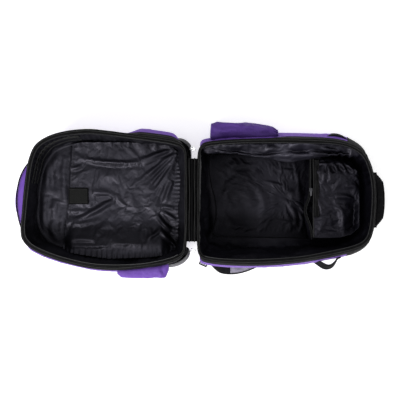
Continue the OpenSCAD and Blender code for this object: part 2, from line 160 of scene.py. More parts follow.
def loft(rings, closed=True, cap0=False, cap1=False):
    n = len(rings[0])
    V = np.vstack(rings)
    F = []
    for r in range(len(rings) - 1):
        for i in range(n if closed else n - 1):
            j = (i + 1) % n
            F.append((r * n + i, r * n + j, (r + 1) * n + j, (r + 1) * n + i))
    if cap0:
        F.append(tuple(range(n - 1, -1, -1)))
    if cap1:
        k = (len(rings) - 1) * n
        F.append(tuple(range(k, k + n)))
    return V, F


def join_vf(parts):
    V, F, k = [], [], 0
    for v, f in parts:
        V.append(np.asarray(v, float).reshape(-1, 3))
        F += [tuple(i + k for i in g) for g in f]
        k += len(V[-1])
    return np.vstack(V), F


def unit(v):
    v = np.asarray(v, float)
    return v / np.maximum(np.linalg.norm(v, axis=-1, keepdims=True), 1e-9)


def resample(P, n=None, step=None, closed=False):
    P = np.asarray(P, float)
    if closed:
        P = np.vstack([P, P[:1]])
    d = np.r_[0, np.cumsum(np.linalg.norm(np.diff(P, axis=0), axis=1))]
    if n is None:
        n = max(2, int(round(d[-1] / step)))
        if not closed:
            n += 1
    t = np.linspace(0, d[-1], n, endpoint=not closed)
    return np.stack([np.interp(t, d, P[:, k]) for k in range(P.shape[1])], 1)


def spline(C, n=8, closed=True):
    """Catmull-Rom through control points."""
    C = np.asarray(C, float)
    m = len(C)
    out = []
    t = np.linspace(0, 1, n, endpoint=False)[:, None]
    for i in range(m if closed else m - 1):
        if closed:
            a, b, c, d = C[(i - 1) % m], C[i], C[(i + 1) % m], C[(i + 2) % m]
        else:
            a, b, c, d = C[max(i - 1, 0)], C[i], C[i + 1], C[min(i + 2, m - 1)]
        out.append(0.5 * (2 * b + (c - a) * t + (2 * a - 5 * b + 4 * c - d) * t ** 2 + (3 * b - a - 3 * c + d) * t ** 3))
    if not closed:
        out.append(C[-1:])
    return np.vstack(out)


def sweep(path, sect, up=(0, 0, 1), closed=False, scale=None, cap=True):
    """Sweeps a section of (side, up) points along a path."""
    P = np.asarray(path, float)
    if closed:
        T = unit(np.roll(P, -1, 0) - np.roll(P, 1, 0))
    else:
        T = unit(np.gradient(P, axis=0))
    U = np.broadcast_to(np.asarray(up, float), P.shape).copy()
    U = unit(U - (U * T).sum(1, keepdims=True) * T)
    S = np.cross(T, U)
    sect = np.asarray(sect, float)
    sc = np.ones(len(P)) if scale is None else np.asarray(scale, float)
    rings = [P[i] + sc[i] * (sect[:, :1] * S[i] + sect[:, 1:] * U[i]) for i in range(len(P))]
    n = len(sect)
    V = np.vstack(rings)
    F = []
    m = len(P)
    for r in range(m if closed else m - 1):
        q = (r + 1) % m
        for i in range(n):
            j = (i + 1) % n
            F.append((r * n + i, r * n + j, q * n + j, q * n + i))
    if not closed and cap:
        F.append(tuple(range(n - 1, -1, -1)))
        F.append(tuple(range((m - 1) * n, m * n)))
    return V, F


def circle_sect(r, n=8, ry=None):
    a = np.linspace(0, 2 * math.pi, n, endpoint=False)
    return np.stack([r * np.cos(a), (ry or r) * np.sin(a)], 1)


def strap_sect(w, t, n=2):
    """Flat webbing section with softened edges and a slight rib pattern."""
    h, k = w / 2, t / 2
    top = [(x, k * (1.0 if i % 2 else 0.82)) for i, x in enumerate(np.linspace(-h + 0.8, h - 0.8, 9))]
    return np.array([(-h, -k * 0.4), (-h, k * 0.4)] + top + [(h, k * 0.4), (h, -k * 0.4)] + [(x, -y) for x, y in reversed(top)])


def beads(path, up, size, pitch, ups=None):
    """Zip teeth: small chamfered blocks along a path. size is along, across, high."""
    P = resample(path, step=pitch)
    T = unit(np.gradient(P, axis=0))
    U = np.broadcast_to(np.asarray(up, float), P.shape)
    U = unit(U - (U * T).sum(1, keepdims=True) * T)
    S = np.cross(T, U)
    a, b, c = size[0] / 2, size[1] / 2, size[2] / 2
    k = 0.62
    corners = [(-a, -b, -c), (a, -b, -c), (a, b, -c), (-a, b, -c), (-a * k, -b * k, c), (a * k, -b * k, c), (a * k, b * k, c), (-a * k, b * k, c)]
    faces = [(0, 3, 2, 1), (4, 5, 6, 7), (0, 1, 5, 4), (1, 2, 6, 5), (2, 3, 7, 6), (3, 0, 4, 7)]
    V = np.concatenate([P[:, None] + np.array(q)[0] * T[:, None] + np.array(q)[1] * S[:, None] + np.array(q)[2] * U[:, None] for q in corners], 1).reshape(-1, 3)
    F = [tuple(8 * i + j for j in f) for i in range(len(P)) for f in faces]
    return V, F


def stitches(path, normal, length=3.2, gap=1.8, r=0.45):
    """A row of stitches lying on a surface."""
    P = resample(path, step=length + gap)
    if len(P) < 2:
        return np.zeros((0, 3)), []
    T = unit(np.gradient(P, axis=0))
    U = np.broadcast_to(np.asarray(normal, float), P.shape) if np.ndim(normal) == 1 else np.asarray([normal[min(int(round(i * (len(normal) - 1) / max(len(P) - 1, 1))), len(normal) - 1)] for i in range(len(P))])
    U = unit(U - (U * T).sum(1, keepdims=True) * T)
    S = np.cross(T, U)
    a = length / 2
    corners = [(-a, -r, 0), (-a, r, 0), (-a * 0.6, -r, r), (-a * 0.6, r, r), (a * 0.6, -r, r), (a * 0.6, r, r), (a, -r, 0), (a, r, 0)]
    faces = [(0, 1, 3, 2), (2, 3, 5, 4), (4, 5, 7, 6), (0, 6, 7, 1), (0, 2, 4, 6), (1, 7, 5, 3)]
    V = np.concatenate([P[:, None] + q[0] * T[:, None] + q[1] * S[:, None] + q[2] * U[:, None] for q in corners], 1).reshape(-1, 3)
    F = [tuple(8 * i + j for j in f) for i in range(len(P)) for f in faces]
    return V, F


def folds(P, items):
    """Height of a set of creases on 2-D points. Each item: three points of a curve, width, height."""
    z = np.zeros(len(P))
    t = np.linspace(0, 1, 26)
    for (p0, p1, p2, w, h) in items:
        p0, p1, p2 = map(np.asarray, (p0, p1, p2))
        C = np.outer((1 - t) ** 2, p0) + np.outer(2 * t * (1 - t), p1) + np.outer(t ** 2, p2)
        D = unit(np.gradient(C, axis=0))
        box = (P[:, 0] > C[:, 0].min() - 5 * w) & (P[:, 0] < C[:, 0].max() + 5 * w) & (P[:, 1] > C[:, 1].min() - 5 * w) & (P[:, 1] < C[:, 1].max() + 5 * w)
        idx = np.nonzero(box)[0]
        if not len(idx):
            continue
        Q = P[idx]
        d2 = ((Q[:, None] - C[None]) ** 2).sum(2)
        k = d2.argmin(1)
        rel = Q - C[k]
        along = (rel * D[k]).sum(1)
        s = rel[:, 0] * D[k][:, 1] - rel[:, 1] * D[k][:, 0]
        tt = t[k]
        taper = np.sin(np.pi * np.clip(tt, 0.04, 0.96)) ** 0.7 * np.exp(-(along / (1.5 * w)) ** 2)
        z[idx] += h * taper * (np.exp(-(s / w) ** 2) - 0.55 * np.exp(-((s - 1.7 * w) / (1.3 * w)) ** 2) - 0.2 * np.exp(-((s + 1.9 * w) / (1.6 * w)) ** 2))
    return z


# ------------------------------------------------------------------ materials
def nodes_of(name):
    m = bpy.data.materials.new(name)
    m.use_nodes = True
    nt = m.node_tree
    nt.nodes.clear()
    out = nt.nodes.new("ShaderNodeOutputMaterial")
    bs = nt.nodes.new("ShaderNodeBsdfPrincipled")
    nt.links.new(bs.outputs[0], out.inputs[0])
    tc = nt.nodes.new("ShaderNodeTexCoord")
    return m, nt, bs, tc.outputs["Object"]


def N(nt, kind, **kw):
    n = nt.nodes.new(kind)
    for k, v in kw.items():
        if hasattr(n, k) and k not in n.inputs:
            setattr(n, k, v)
        else:
            n.inputs[k].default_value = v
    return n


def noise(nt, co, scale, detail=3, rough=0.55, dist=0.0):
    n = N(nt, "ShaderNodeTexNoise")
    n.inputs["Scale"].default_value = scale
    n.inputs["Detail"].default_value = detail
    n.inputs["Roughness"].default_value = rough
    n.inputs["Distortion"].default_value = dist
    nt.links.new(co, n.inputs["Vector"])
    return n.outputs["Fac"]


def wave(nt, co, axis, period_mm, profile="SIN"):
    n = N(nt, "ShaderNodeTexWave")
    n.wave_type = "BANDS"
    n.bands_direction = axis
    n.wave_profile = profile
    n.inputs["Scale"].default_value = 0.31416 / (period_mm / 1000)
    n.inputs["Distortion"].default_value = 0.0
    nt.links.new(co, n.inputs["Vector"])
    return n.outputs["Fac"]


def mth(nt, op, a, b=None, clamp=False):
    n = nt.nodes.new("ShaderNodeMath")
    n.operation = op
    n.use_clamp = clamp
    for i, x in enumerate((a, b)):
        if x is None:
            continue
        if isinstance(x, (int, float)):
            n.inputs[i].default_value = x
        else:
            nt.links.new(x, n.inputs[i])
    return n.outputs[0]


def mixc(nt, f, a, b):
    n = nt.nodes.new("ShaderNodeMix")
    n.data_type = "RGBA"
    for sock, x in ((n.inputs[0], f), (n.inputs[6], a), (n.inputs[7], b)):
        if isinstance(x, (int, float)):
            sock.default_value = x
        elif isinstance(x, (tuple, list)):
            sock.default_value = (*x, 1)
        else:
            nt.links.new(x, sock)
    return n.outputs[2]


def ramp(nt, f, lo, hi, a=0.0, b=1.0):
    n = nt.nodes.new("ShaderNodeMapRange")
    n.clamp = True
    n.inputs[1].default_value, n.inputs[2].default_value = lo, hi
    n.inputs[3].default_value, n.inputs[4].default_value = a, b
    nt.links.new(f, n.inputs[0])
    return n.outputs[0]


def bump(nt, bs, layers):
    """layers: (height socket, strength, distance in mm), chained."""
    last = None
    for h, s, d in layers:
        b = nt.nodes.new("ShaderNodeBump")
        b.inputs["Strength"].default_value = s
        b.inputs["Distance"].default_value = d / 1000
        nt.links.new(h, b.inputs["Height"])
        if last is not None:
            nt.links.new(last, b.inputs["Normal"])
        last = b.outputs[0]
    nt.links.new(last, bs.inputs["Normal"])


def edge(nt, lo=0.52, hi=0.6):
    g = nt.nodes.new("ShaderNodeNewGeometry")
    return ramp(nt, g.outputs["Pointiness"], lo, hi)


def shade(nt, dist=0.035, lo=0.25, hi=0.9):
    """Painted shade in folds and corners from an occlusion node: how open the surface is, 0 to 1."""
    a = nt.nodes.new("ShaderNodeAmbientOcclusion")
    a.samples = 6
    a.inputs["Distance"].default_value = dist
    return ramp(nt, a.outputs["AO"], lo, hi)


def times(nt, col, f, lo=0.25):
    return mixc(nt, f, mixc(nt, lo, (0, 0, 0), col), col)


def fabric(name, base, dark, light, rough=0.75, weave=1.3, weave_s=0.5, crease=0.25, crease_scale=26, spec=0.35, sheen=0.3, coat=0.0, edge_lighten=0.25):
    m, nt, bs, co = nodes_of(name)
    big = ramp(nt, noise(nt, co, 5, 2), 0.3, 0.7)
    mid = ramp(nt, noise(nt, co, 60, 4), 0.35, 0.7)
    col = mixc(nt, mth(nt, "ADD", mth(nt, "MULTIPLY", big, 0.35), 0.55), dark, base)
    col = mixc(nt, mth(nt, "MULTIPLY", mid, 0.12), col, light)
    wx, wy, wz = wave(nt, co, "X", weave), wave(nt, co, "Y", weave), wave(nt, co, "Z", weave)
    w = mth(nt, "MAXIMUM", mth(nt, "MULTIPLY", wx, wy), mth(nt, "MULTIPLY", mth(nt, "MAXIMUM", wx, wy), wz))
    col = mixc(nt, mth(nt, "MULTIPLY", w, 0.18), col, light)
    # convex edges, found by pointiness, are drawn lighter
    if edge_lighten:
        col = mixc(nt, mth(nt, "MULTIPLY", edge(nt), edge_lighten), col, light)
    # painted shade: the occlusion factor darkens the colour and the specular level in folds and corners
    ao = shade(nt)
    nt.links.new(times(nt, col, ao), bs.inputs["Base Color"])
    nt.links.new(ramp(nt, noise(nt, co, 18, 3), 0.3, 0.75, rough - 0.08, rough + 0.08), bs.inputs["Roughness"])
    nt.links.new(mth(nt, "MULTIPLY", ao, spec), bs.inputs["Specular IOR Level"])
    bs.inputs["Sheen Weight"].default_value = sheen
    bs.inputs["Sheen Roughness"].default_value = 0.45
    bs.inputs["Sheen Tint"].default_value = (*[min(1, c * 3 + 0.1) for c in base], 1)
    bs.inputs["Coat Weight"].default_value = coat
    bs.inputs["Coat Roughness"].default_value = 0.3
    bump(nt, bs, [(noise(nt, co, crease_scale, 5, 0.6, 0.6), crease, 3.0), (w, weave_s, 0.25), (noise(nt, co, 900, 2), 0.15, 0.1)])
    return m


def band_of(nt, co, axis, lo, hi):
    s = N(nt, "ShaderNodeSeparateXYZ")
    nt.links.new(co, s.inputs[0])
    return ramp(nt, s.outputs[axis], lo, hi) if lo < hi else mth(nt, "SUBTRACT", 1.0, ramp(nt, s.outputs[axis], hi, lo))


def nylon(name, base, dark, light, rough=0.38, crease=0.6, spec=0.5, reach=0.05, painted_light_bands=()):
    """Thin coated lining: soft gloss with a net of fine creases. The last argument lists (gain, bands): painted light
    that scales the colour and the specular level by gain inside bands of object coordinates, a painted highlight where
    gain is above 1 and painted shade where it is below 1.
    """
    m, nt, bs, co = nodes_of(name)
    big = ramp(nt, noise(nt, co, 6, 3), 0.35, 0.7)
    col = mixc(nt, big, dark, base)
    col = mixc(nt, mth(nt, "MULTIPLY", ramp(nt, noise(nt, co, 60, 5), 0.5, 0.75), 0.35), col, light)
    # painted shade: the occlusion factor, reaching this far, darkens the colour and the specular level in folds and
    # corners
    ao = shade(nt, reach, 0.3, 0.85)
    # painted light: each band scales the colour and the specular level by its gain
    for gain, bands in painted_light_bands:
        f = None
        for axis, lo, hi in bands:
            b = band_of(nt, co, axis, lo, hi)
            f = b if f is None else mth(nt, "MULTIPLY", f, b)
        f = mth(nt, "ADD", mth(nt, "MULTIPLY", f, gain - 1), 1.0)
        sc = N(nt, "ShaderNodeVectorMath", operation="SCALE")
        nt.links.new(col, sc.inputs[0])
        nt.links.new(f, sc.inputs["Scale"])
        col = sc.outputs[0]
        ao = mth(nt, "MULTIPLY", ao, f)
    nt.links.new(times(nt, col, ao), bs.inputs["Base Color"])
    nt.links.new(ramp(nt, noise(nt, co, 24, 4), 0.3, 0.75, rough - 0.06, rough + 0.12), bs.inputs["Roughness"])
    nt.links.new(mth(nt, "MULTIPLY", ao, spec), bs.inputs["Specular IOR Level"])
    bs.inputs["Specular Tint"].default_value = (0.86, 0.83, 1.0, 1)
    c1 = N(nt, "ShaderNodeTexNoise", noise_type="RIDGED_MULTIFRACTAL")
    c1.inputs["Scale"].default_value = 16
    c1.inputs["Detail"].default_value = 4
    c1.inputs["Distortion"].default_value = 0.9
    nt.links.new(co, c1.inputs["Vector"])
    wx, wy = wave(nt, co, "X", 1.0), wave(nt, co, "Y", 1.0)
    bump(nt, bs, [(c1.outputs["Fac"], crease, 0.9), (noise(nt, co, 34, 5, 0.6, 1.2), crease * 0.5, 2.2), (mth(nt, "MAXIMUM", wx, wy), 0.2, 0.12)])
    return m


def webbing_mat(name, base, light, period=2.2, rough=0.7, spec=0.1, sheen=0.01):
    m, nt, bs, co = nodes_of(name)
    a, b, c = wave(nt, co, "X", period), wave(nt, co, "Y", period), wave(nt, co, "Z", period * 0.8)
    w = mth(nt, "MAXIMUM", mth(nt, "MULTIPLY", a, b), c)
    col = mixc(nt, mth(nt, "MULTIPLY", w, 0.5), base, light)
    col = mixc(nt, mth(nt, "MULTIPLY", ramp(nt, noise(nt, co, 90, 4), 0.45, 0.75), 0.4), col, light)
    nt.links.new(col, bs.inputs["Base Color"])
    nt.links.new(ramp(nt, noise(nt, co, 50, 3), 0.3, 0.7, rough - 0.1, rough + 0.1), bs.inputs["Roughness"])
    bs.inputs["Specular IOR Level"].default_value = spec
    bs.inputs["Sheen Weight"].default_value = sheen
    bump(nt, bs, [(w, 0.8, 0.5), (noise(nt, co, 700, 2), 0.3, 0.12)])
    return m


def mesh_mat(name, base, hole, light, cell=2.6):
    m, nt, bs, co = nodes_of(name)
    v = N(nt, "ShaderNodeTexVoronoi", feature="F1")
    v.inputs["Scale"].default_value = 1000 / cell
    v.inputs["Randomness"].default_value = 0.25
    nt.links.new(co, v.inputs["Vector"])
    d = ramp(nt, v.outputs["Distance"], 0.15, 0.55)
    col = mixc(nt, d, hole, base)
    col = mixc(nt, mth(nt, "MULTIPLY", ramp(nt, noise(nt, co, 30, 4), 0.4, 0.7), 0.4), col, light)
    nt.links.new(col, bs.inputs["Base Color"])
    nt.links.new(ramp(nt, noise(nt, co, 40, 3), 0.3, 0.7, 0.8, 0.95), bs.inputs["Roughness"])
    bs.inputs["Specular IOR Level"].default_value = 0.2
    bs.inputs["Sheen Weight"].default_value = 0.4
    bump(nt, bs, [(noise(nt, co, 28, 4), 0.2, 3), (d, 0.9, 0.8)])
    return m


def metal(name, base, rough, scratch=0.3, metallic=1.0):
    m, nt, bs, co = nodes_of(name)
    g = ramp(nt, noise(nt, co, 220, 5, 0.7), 0.35, 0.75)
    col = mixc(nt, mth(nt, "MULTIPLY", g, 0.5), base, tuple(min(1, c * 0.72) for c in base))
    col = mixc(nt, mth(nt, "MULTIPLY", edge(nt, 0.5, 0.62), 0.5), col, tuple(min(1, c * 1.3 + 0.05) for c in base))
    nt.links.new(col, bs.inputs["Base Color"])
    bs.inputs["Metallic"].default_value = metallic
    nt.links.new(ramp(nt, noise(nt, co, 400, 4), 0.3, 0.75, rough * 0.7, rough * 1.6), bs.inputs["Roughness"])
    s = N(nt, "ShaderNodeTexNoise")
    s.inputs["Scale"].default_value = 1200
    s.inputs["Detail"].default_value = 3
    nt.links.new(co, s.inputs["Vector"])
    bump(nt, bs, [(noise(nt, co, 120, 3), 0.2, 0.3), (s.outputs["Fac"], scratch, 0.05)])
    return m


def plastic(name, base, rough=0.45):
    m, nt, bs, co = nodes_of(name)
    col = mixc(nt, ramp(nt, noise(nt, co, 60, 4), 0.35, 0.7), base, tuple(c * 1.8 + 0.004 for c in base))
    col = mixc(nt, mth(nt, "MULTIPLY", edge(nt), 0.4), col, tuple(c * 3 + 0.02 for c in base))
    nt.links.new(col, bs.inputs["Base Color"])
    nt.links.new(ramp(nt, noise(nt, co, 300, 3), 0.3, 0.7, rough - 0.08, rough + 0.1), bs.inputs["Roughness"])
    bump(nt, bs, [(noise(nt, co, 1500, 2), 0.25, 0.08)])
    return m


def foam_mat(name, base):
    m, nt, bs, co = nodes_of(name)
    v = N(nt, "ShaderNodeTexVoronoi")
    v.inputs["Scale"].default_value = 700
    nt.links.new(co, v.inputs["Vector"])
    col = mixc(nt, ramp(nt, v.outputs["Distance"], 0.1, 0.6), tuple(c * 0.6 for c in base), base)
    nt.links.new(col, bs.inputs["Base Color"])
    nt.links.new(ramp(nt, noise(nt, co, 60, 3), 0.3, 0.7, 0.85, 0.98), bs.inputs["Roughness"])
    bump(nt, bs, [(v.outputs["Distance"], 0.6, 0.4)])
    return m


def fuzz(name, base, light):
    """Hook-and-loop surface."""
    m, nt, bs, co = nodes_of(name)
    n = noise(nt, co, 1400, 4, 0.7)
    v = N(nt, "ShaderNodeTexVoronoi")
    v.inputs["Scale"].default_value = 620
    nt.links.new(co, v.inputs["Vector"])
    col = mixc(nt, mth(nt, "MULTIPLY", ramp(nt, n, 0.4, 0.7), 0.7), base, light)
    nt.links.new(col, bs.inputs["Base Color"])
    nt.links.new(ramp(nt, noise(nt, co, 80, 3), 0.3, 0.7, 0.85, 1.0), bs.inputs["Roughness"])
    bs.inputs["Specular IOR Level"].default_value = 0.15
    bs.inputs["Sheen Weight"].default_value = 0.08
    bump(nt, bs, [(v.outputs["Distance"], 0.9, 0.7), (n, 0.6, 0.4)])
    return m


M_PURPLE = fabric("purple_weave", (0.165, 0.072, 0.43), (0.12, 0.05, 0.33), (0.28, 0.155, 0.62), rough=0.58, weave=1.5, crease=0.22, sheen=0.25, spec=0.25)
# painted shade: a darker copy of the purple cloth, used for the bottle pocket, which sits in shade
M_PURPLE_PAINTED_SHADE = fabric("purple_weave_painted_shade", (0.080, 0.034, 0.225), (0.05, 0.02, 0.155), (0.165, 0.082, 0.39), rough=0.58, weave=1.5, crease=0.25, sheen=0.2, spec=0.2)
M_BLACK = fabric("black_weave", (0.005, 0.005, 0.006), (0.003, 0.003, 0.0035), (0.018, 0.018, 0.020), rough=0.62, weave=1.4, crease=0.35, sheen=0.0, spec=0.12)
M_BAND = fabric("black_band", (0.0022, 0.0022, 0.0026), (0.0015, 0.0015, 0.0018), (0.009, 0.009, 0.010), rough=0.6, weave=1.8, crease=0.2, sheen=0.0, edge_lighten=0.15, spec=0.06)
# painted shade: the lid lining is drawn at 0.52 of its colour and specular where Y lies between about -88 and -128 mm
M_LID = nylon("lining_lid", (0.0100, 0.0098, 0.0140), (0.0055, 0.0055, 0.0078), (0.024, 0.0235, 0.031), rough=0.44, crease=0.7, spec=0.42,
              painted_light_bands=[(0.52, [("Y", -0.058, -0.088), ("Y", -0.150, -0.128)])])
# painted light on the bay lining: the roll along the +Y side is drawn 1.7 and 1.9 times as light (painted highlight),
# and the floor near the fold and towards the -Y wall 0.55 and 0.5 times as dark (painted shade)
M_LIN = nylon("lining_body", (0.0037, 0.0035, 0.0062), (0.0020, 0.0019, 0.0035), (0.0100, 0.0095, 0.0152), rough=0.46, crease=0.5, spec=0.30, reach=0.075,
              painted_light_bands=[(1.7, [("Y", 0.098, 0.118), ("Z", 0.100, 0.122)]), (1.9, [("Y", 0.110, 0.125), ("Z", 0.105, 0.125), ("X", 0.045, 0.075), ("X", 0.175, 0.150)]),
                    (0.55, [("Z", 0.060, 0.045), ("X", 0.020, -0.030), ("X", -0.150, -0.125)]), (0.5, [("Z", 0.060, 0.045), ("Y", -0.030, -0.060), ("Y", -0.128, -0.108)])])
M_WEB = webbing_mat("webbing_black", (0.005, 0.005, 0.0055), (0.022, 0.022, 0.024))
M_HANDLE = webbing_mat("handle_ribbed", (0.0030, 0.0030, 0.0036), (0.014, 0.014, 0.016), period=5.2, rough=0.6)
M_BIND = webbing_mat("binding_grey", (0.0145, 0.0145, 0.0150), (0.044, 0.044, 0.044), period=1.6, rough=0.55, spec=0.12)
M_TAPE = webbing_mat("zip_tape", (0.0036, 0.0036, 0.0040), (0.014, 0.014, 0.0145), period=1.2, rough=0.6, spec=0.05, sheen=0.0)
M_TEETH = plastic("zip_coil", (0.006, 0.006, 0.007), 0.36)
M_MESH = mesh_mat("spacer_mesh", (0.32, 0.305, 0.375), (0.09, 0.086, 0.108), (0.50, 0.48, 0.57))
M_GUARD = mesh_mat("corner_mesh", (0.10, 0.10, 0.11), (0.02, 0.02, 0.022), (0.24, 0.24, 0.26), cell=3.4)
M_GUARD_D = mesh_mat("corner_mesh_dark", (0.020, 0.020, 0.022), (0.006, 0.006, 0.007), (0.06, 0.06, 0.065), cell=3.0)
M_FOAM = foam_mat("foam_grey", (0.2, 0.2, 0.21))
M_BOARD = plastic("stiffener_board", (0.35, 0.35, 0.33), 0.6)
M_METAL = metal("nickel", (0.66, 0.66, 0.67), 0.24)
M_DARKMETAL = metal("dark_enamel", (0.10, 0.10, 0.11), 0.34)
M_BUCKLE = plastic("acetal_black", (0.007, 0.007, 0.008), 0.42)
M_FUZZ = fuzz("hook_and_loop", (0.0055, 0.0055, 0.0055), (0.020, 0.021, 0.020))
M_THREAD = fabric("thread_purple", (0.12, 0.05, 0.32), (0.09, 0.035, 0.24), (0.25, 0.16, 0.5), weave=0.6, crease=0.1)
M_THREADK = fabric("thread_black", (0.014, 0.014, 0.015), (0.01, 0.01, 0.01), (0.05, 0.05, 0.05), weave=0.6, crease=0.1)


# ------------------------------------------------------------------ rims
# Outer edge of each rim (mm from the fold line), as the cloth hangs when the bag is laid open.
BODY_CTRL = [(14.5, 0), (14.5, -66), (15, -128), (21, -158), (45, -171.5), (108, -179), (200, -180), (308, -172), (422, -152),
             (479, -136), (505, -117), (517, -89), (523, -50), (525.5, 0), (523.5, 46), (515.5, 87), (500, 124), (473, 149),
             (427, 165.5), (351, 172.5), (237, 174.5), (137, 172), (66, 167), (36, 161), (21, 148), (16, 122), (14.5, 64)]
LID_CTRL = [(-13, 0), (-13, 62), (-14, 119), (-17, 143), (-31, 160.5), (-57, 170.5), (-105, 178), (-176, 187), (-248, 197),
            (-308, 202), (-371, 195.5), (-418, 181), (-450, 159), (-467, 126), (-477, 80), (-485, 14), (-490, -43), (-493, -86),
            (-487, -115), (-463, -140), (-418, -161), (-362, -178.5), (-290, -193.5), (-216, -197.5), (-134, -190), (-68, -178.5),
            (-34, -164), (-18, -141), (-13.5, -71)]


def rim_curve(ctrl, n, z0, sag=0.0):
    P = resample(spline(ctrl, 10), n=n, closed=True)
    T = unit(np.roll(P, -1, 0) - np.roll(P, 1, 0))
    Nn = np.stack([T[:, 1], -T[:, 0]], 1)
    c = P.mean(0)
    if ((P - c) * Nn).sum() < 0:
        Nn = -Nn
    for _ in range(2):
        Nn = unit(Nn + 0.5 * (np.roll(Nn, 1, 0) + np.roll(Nn, -1, 0)))
    z = z0 - sag * sstep(60, 480, np.abs(P[:, 0]))
    return P, Nn, z


NB = 300
BP, BN, BZ = rim_curve(BODY_CTRL, NB, 160)
LID_SAG = 2.5
_k = [1600 / (1600 + (14 - LID_SAG) * float(sstep(60, 480, abs(x)))) for x, y in LID_CTRL]
LID_CTRL = [(23 + (x - 23) * k, y * k) for (x, y), k in zip(LID_CTRL, _k)]
LP, LN, LZ = rim_curve(LID_CTRL, NB, 160, sag=LID_SAG)


def ring(P, Nn, Z, o, dz, fold=None):
    """Ring offset outwards by o (a number or one per point), dz below the rim. fold: extra distance from the fold on the fold side."""
    o = np.broadcast_to(np.asarray(o, float), (len(P),)).copy()
    s = np.sign(P[:, 0].mean())
    if fold is not None:
        f = sstep(0.35, 0.9, -s * Nn[:, 0])
        o = o * (1 - f) - fold * f
    Q = P + Nn * o[:, None]
    return np.column_stack([Q, Z - dz])


def super_ring(P, c, half, box, p=5.0):
    """Points of a rounded rectangle matched by direction with the points P around c."""
    q = (P - np.asarray(c)) / np.asarray(half)
    a = np.arctan2(q[:, 1], q[:, 0])
    r = (np.abs(np.cos(a)) ** p + np.abs(np.sin(a)) ** p) ** (-1 / p)
    x0, x1, y0, y1 = box
    return np.column_stack([(x0 + x1) / 2 + r * np.cos(a) * (x1 - x0) / 2, (y0 + y1) / 2 + r * np.sin(a) * (y1 - y0) / 2])


def seg(P, cond):
    """Longest cyclic run of indices where cond holds."""
    n = len(P)
    k = int(np.argmin(cond))
    run, best = [], []
    for i in range(k, k + n + 1):
        if cond[i % n]:
            run.append(i % n)
        else:
            if len(run) > len(best):
                best = run
            run = []
    return best


# ------------------------------------------------------------------ body shell
def wall_rings(P, Nn, Z, prof, side_gain=None, tuck=0.0):
    """prof rows: depth below the rim, outward offset, fold distance."""
    out = []
    for d, o, f in prof:
        oo = o if side_gain is None or o < 0 else o * (1 + np.where(side_gain < 1, side_gain - 1, 0) * float(sstep(8, 30, d)) + np.where(side_gain > 1, side_gain - 1, 0) * float(sstep(32, 62, d)))
        out.append(ring(P, Nn, Z, oo * (1 - tuck * float(sstep(46, 28, d))), d, f))
    return out


def refine(prof, k=3):
    prof = np.asarray(prof, float)
    return spline(prof, k, closed=False)


BODY_PROF = refine([(13, 2.0, 1), (27, 6.5, 2.5), (46, 12, 4.5), (70, 15.5, 7), (92, 13, 9), (112, 8, 11), (128, 0, 13), (138, -8, 15), (143.2, -17, 18)])
BODY_GAIN = 1 + 0.30 * sstep(0.3, 0.9, -BN[:, 1]) + (0.15 + 0.45 * sstep(150, 260, BP[:, 0]) + 0.30 * np.exp(-((BP[:, 0] - 428) / 38) ** 2)) * sstep(0.3, 0.9, BN[:, 1]) - 0.85 * sstep(0.75, 0.97, BN[:, 0])
TUCK = 0.75 * sstep(0.5, 0.95, BN[:, 1]) * sstep(290, 215, BP[:, 0])      # the bottle pocket pulls the rim in near the fold
BODY_RINGS = wall_rings(BP, BN, BZ, BODY_PROF, BODY_GAIN, TUCK)


def wrinkle(V, P0, amp, scale, seed, along=None):
    """Returns V unchanged."""
    return V


def panel(name, rings, idx, mat, body, nodes, th=2.0, amp=1.6, seed=0, squash=False, seam_amp=0.9, ds=None):
    """One outer panel: the wall rings over a run of indices, puckered along its seams."""
    R = [r[idx] for r in rings]
    nu, nv = len(idx), len(R)
    G = np.stack(R)                                    # nv, nu, 3
    G = resample_grid(G, 2.0, 2.0)
    nv, nu = G.shape[:2]
    du, dv = np.gradient(G, axis=1), np.gradient(G, axis=0)
    nn = unit(np.cross(du, dv))
    c = G.reshape(-1, 3).mean(0)
    s = np.sign(((G - np.array([240 * np.sign(c[0]), 0, 90])) * nn).sum())
    nn = nn * s
    flat = G.reshape(-1, 3)
    stretch = flat * np.array([0.45, 0.45, 1.0])
    d = amp * fbm(stretch, 46, seed, 3) + 0.45 * amp * fbm(flat, 17, seed + 5, 2)
    u = np.tile(np.linspace(0, 1, nu), nv)
    v = np.repeat(np.linspace(0, 1, nv), nu)
    ub = np.minimum(u, 1 - u) * nu * 4
    vb = np.minimum(v, 1 - v) * nv * 4
    arc = np.cumsum(np.r_[0, np.linalg.norm(np.diff(G[nv // 2], axis=0), axis=1)])
    pk = np.sin(np.tile(arc, nv) / 5.2 + 2.5 * frac_noise(flat, 30, seed + 9))
    d += seam_amp * pk * np.exp(-vb / 16.0)
    d += seam_amp * np.sin(flat[:, 2] / 4.3) * np.exp(-ub / 16.0)
    d *= np.clip(np.minimum(ub, vb) / 6.0, 0.15, 1)
    d = np.where(d < 0, 0.45 * d, d) * (0.25 + 0.75 * sstep(0.05, 0.22, v))
    V = flat + nn.reshape(-1, 3) * d[:, None]
    F = [(r * nu + i, r * nu + i + 1, (r + 1) * nu + i + 1, (r + 1) * nu + i) for r in range(nv - 1) for i in range(nu - 1)]
    o = solid(make(name, V, F, mat), th)
    return done(o, body, nodes, squash), V.reshape(nv, nu, 3), nn


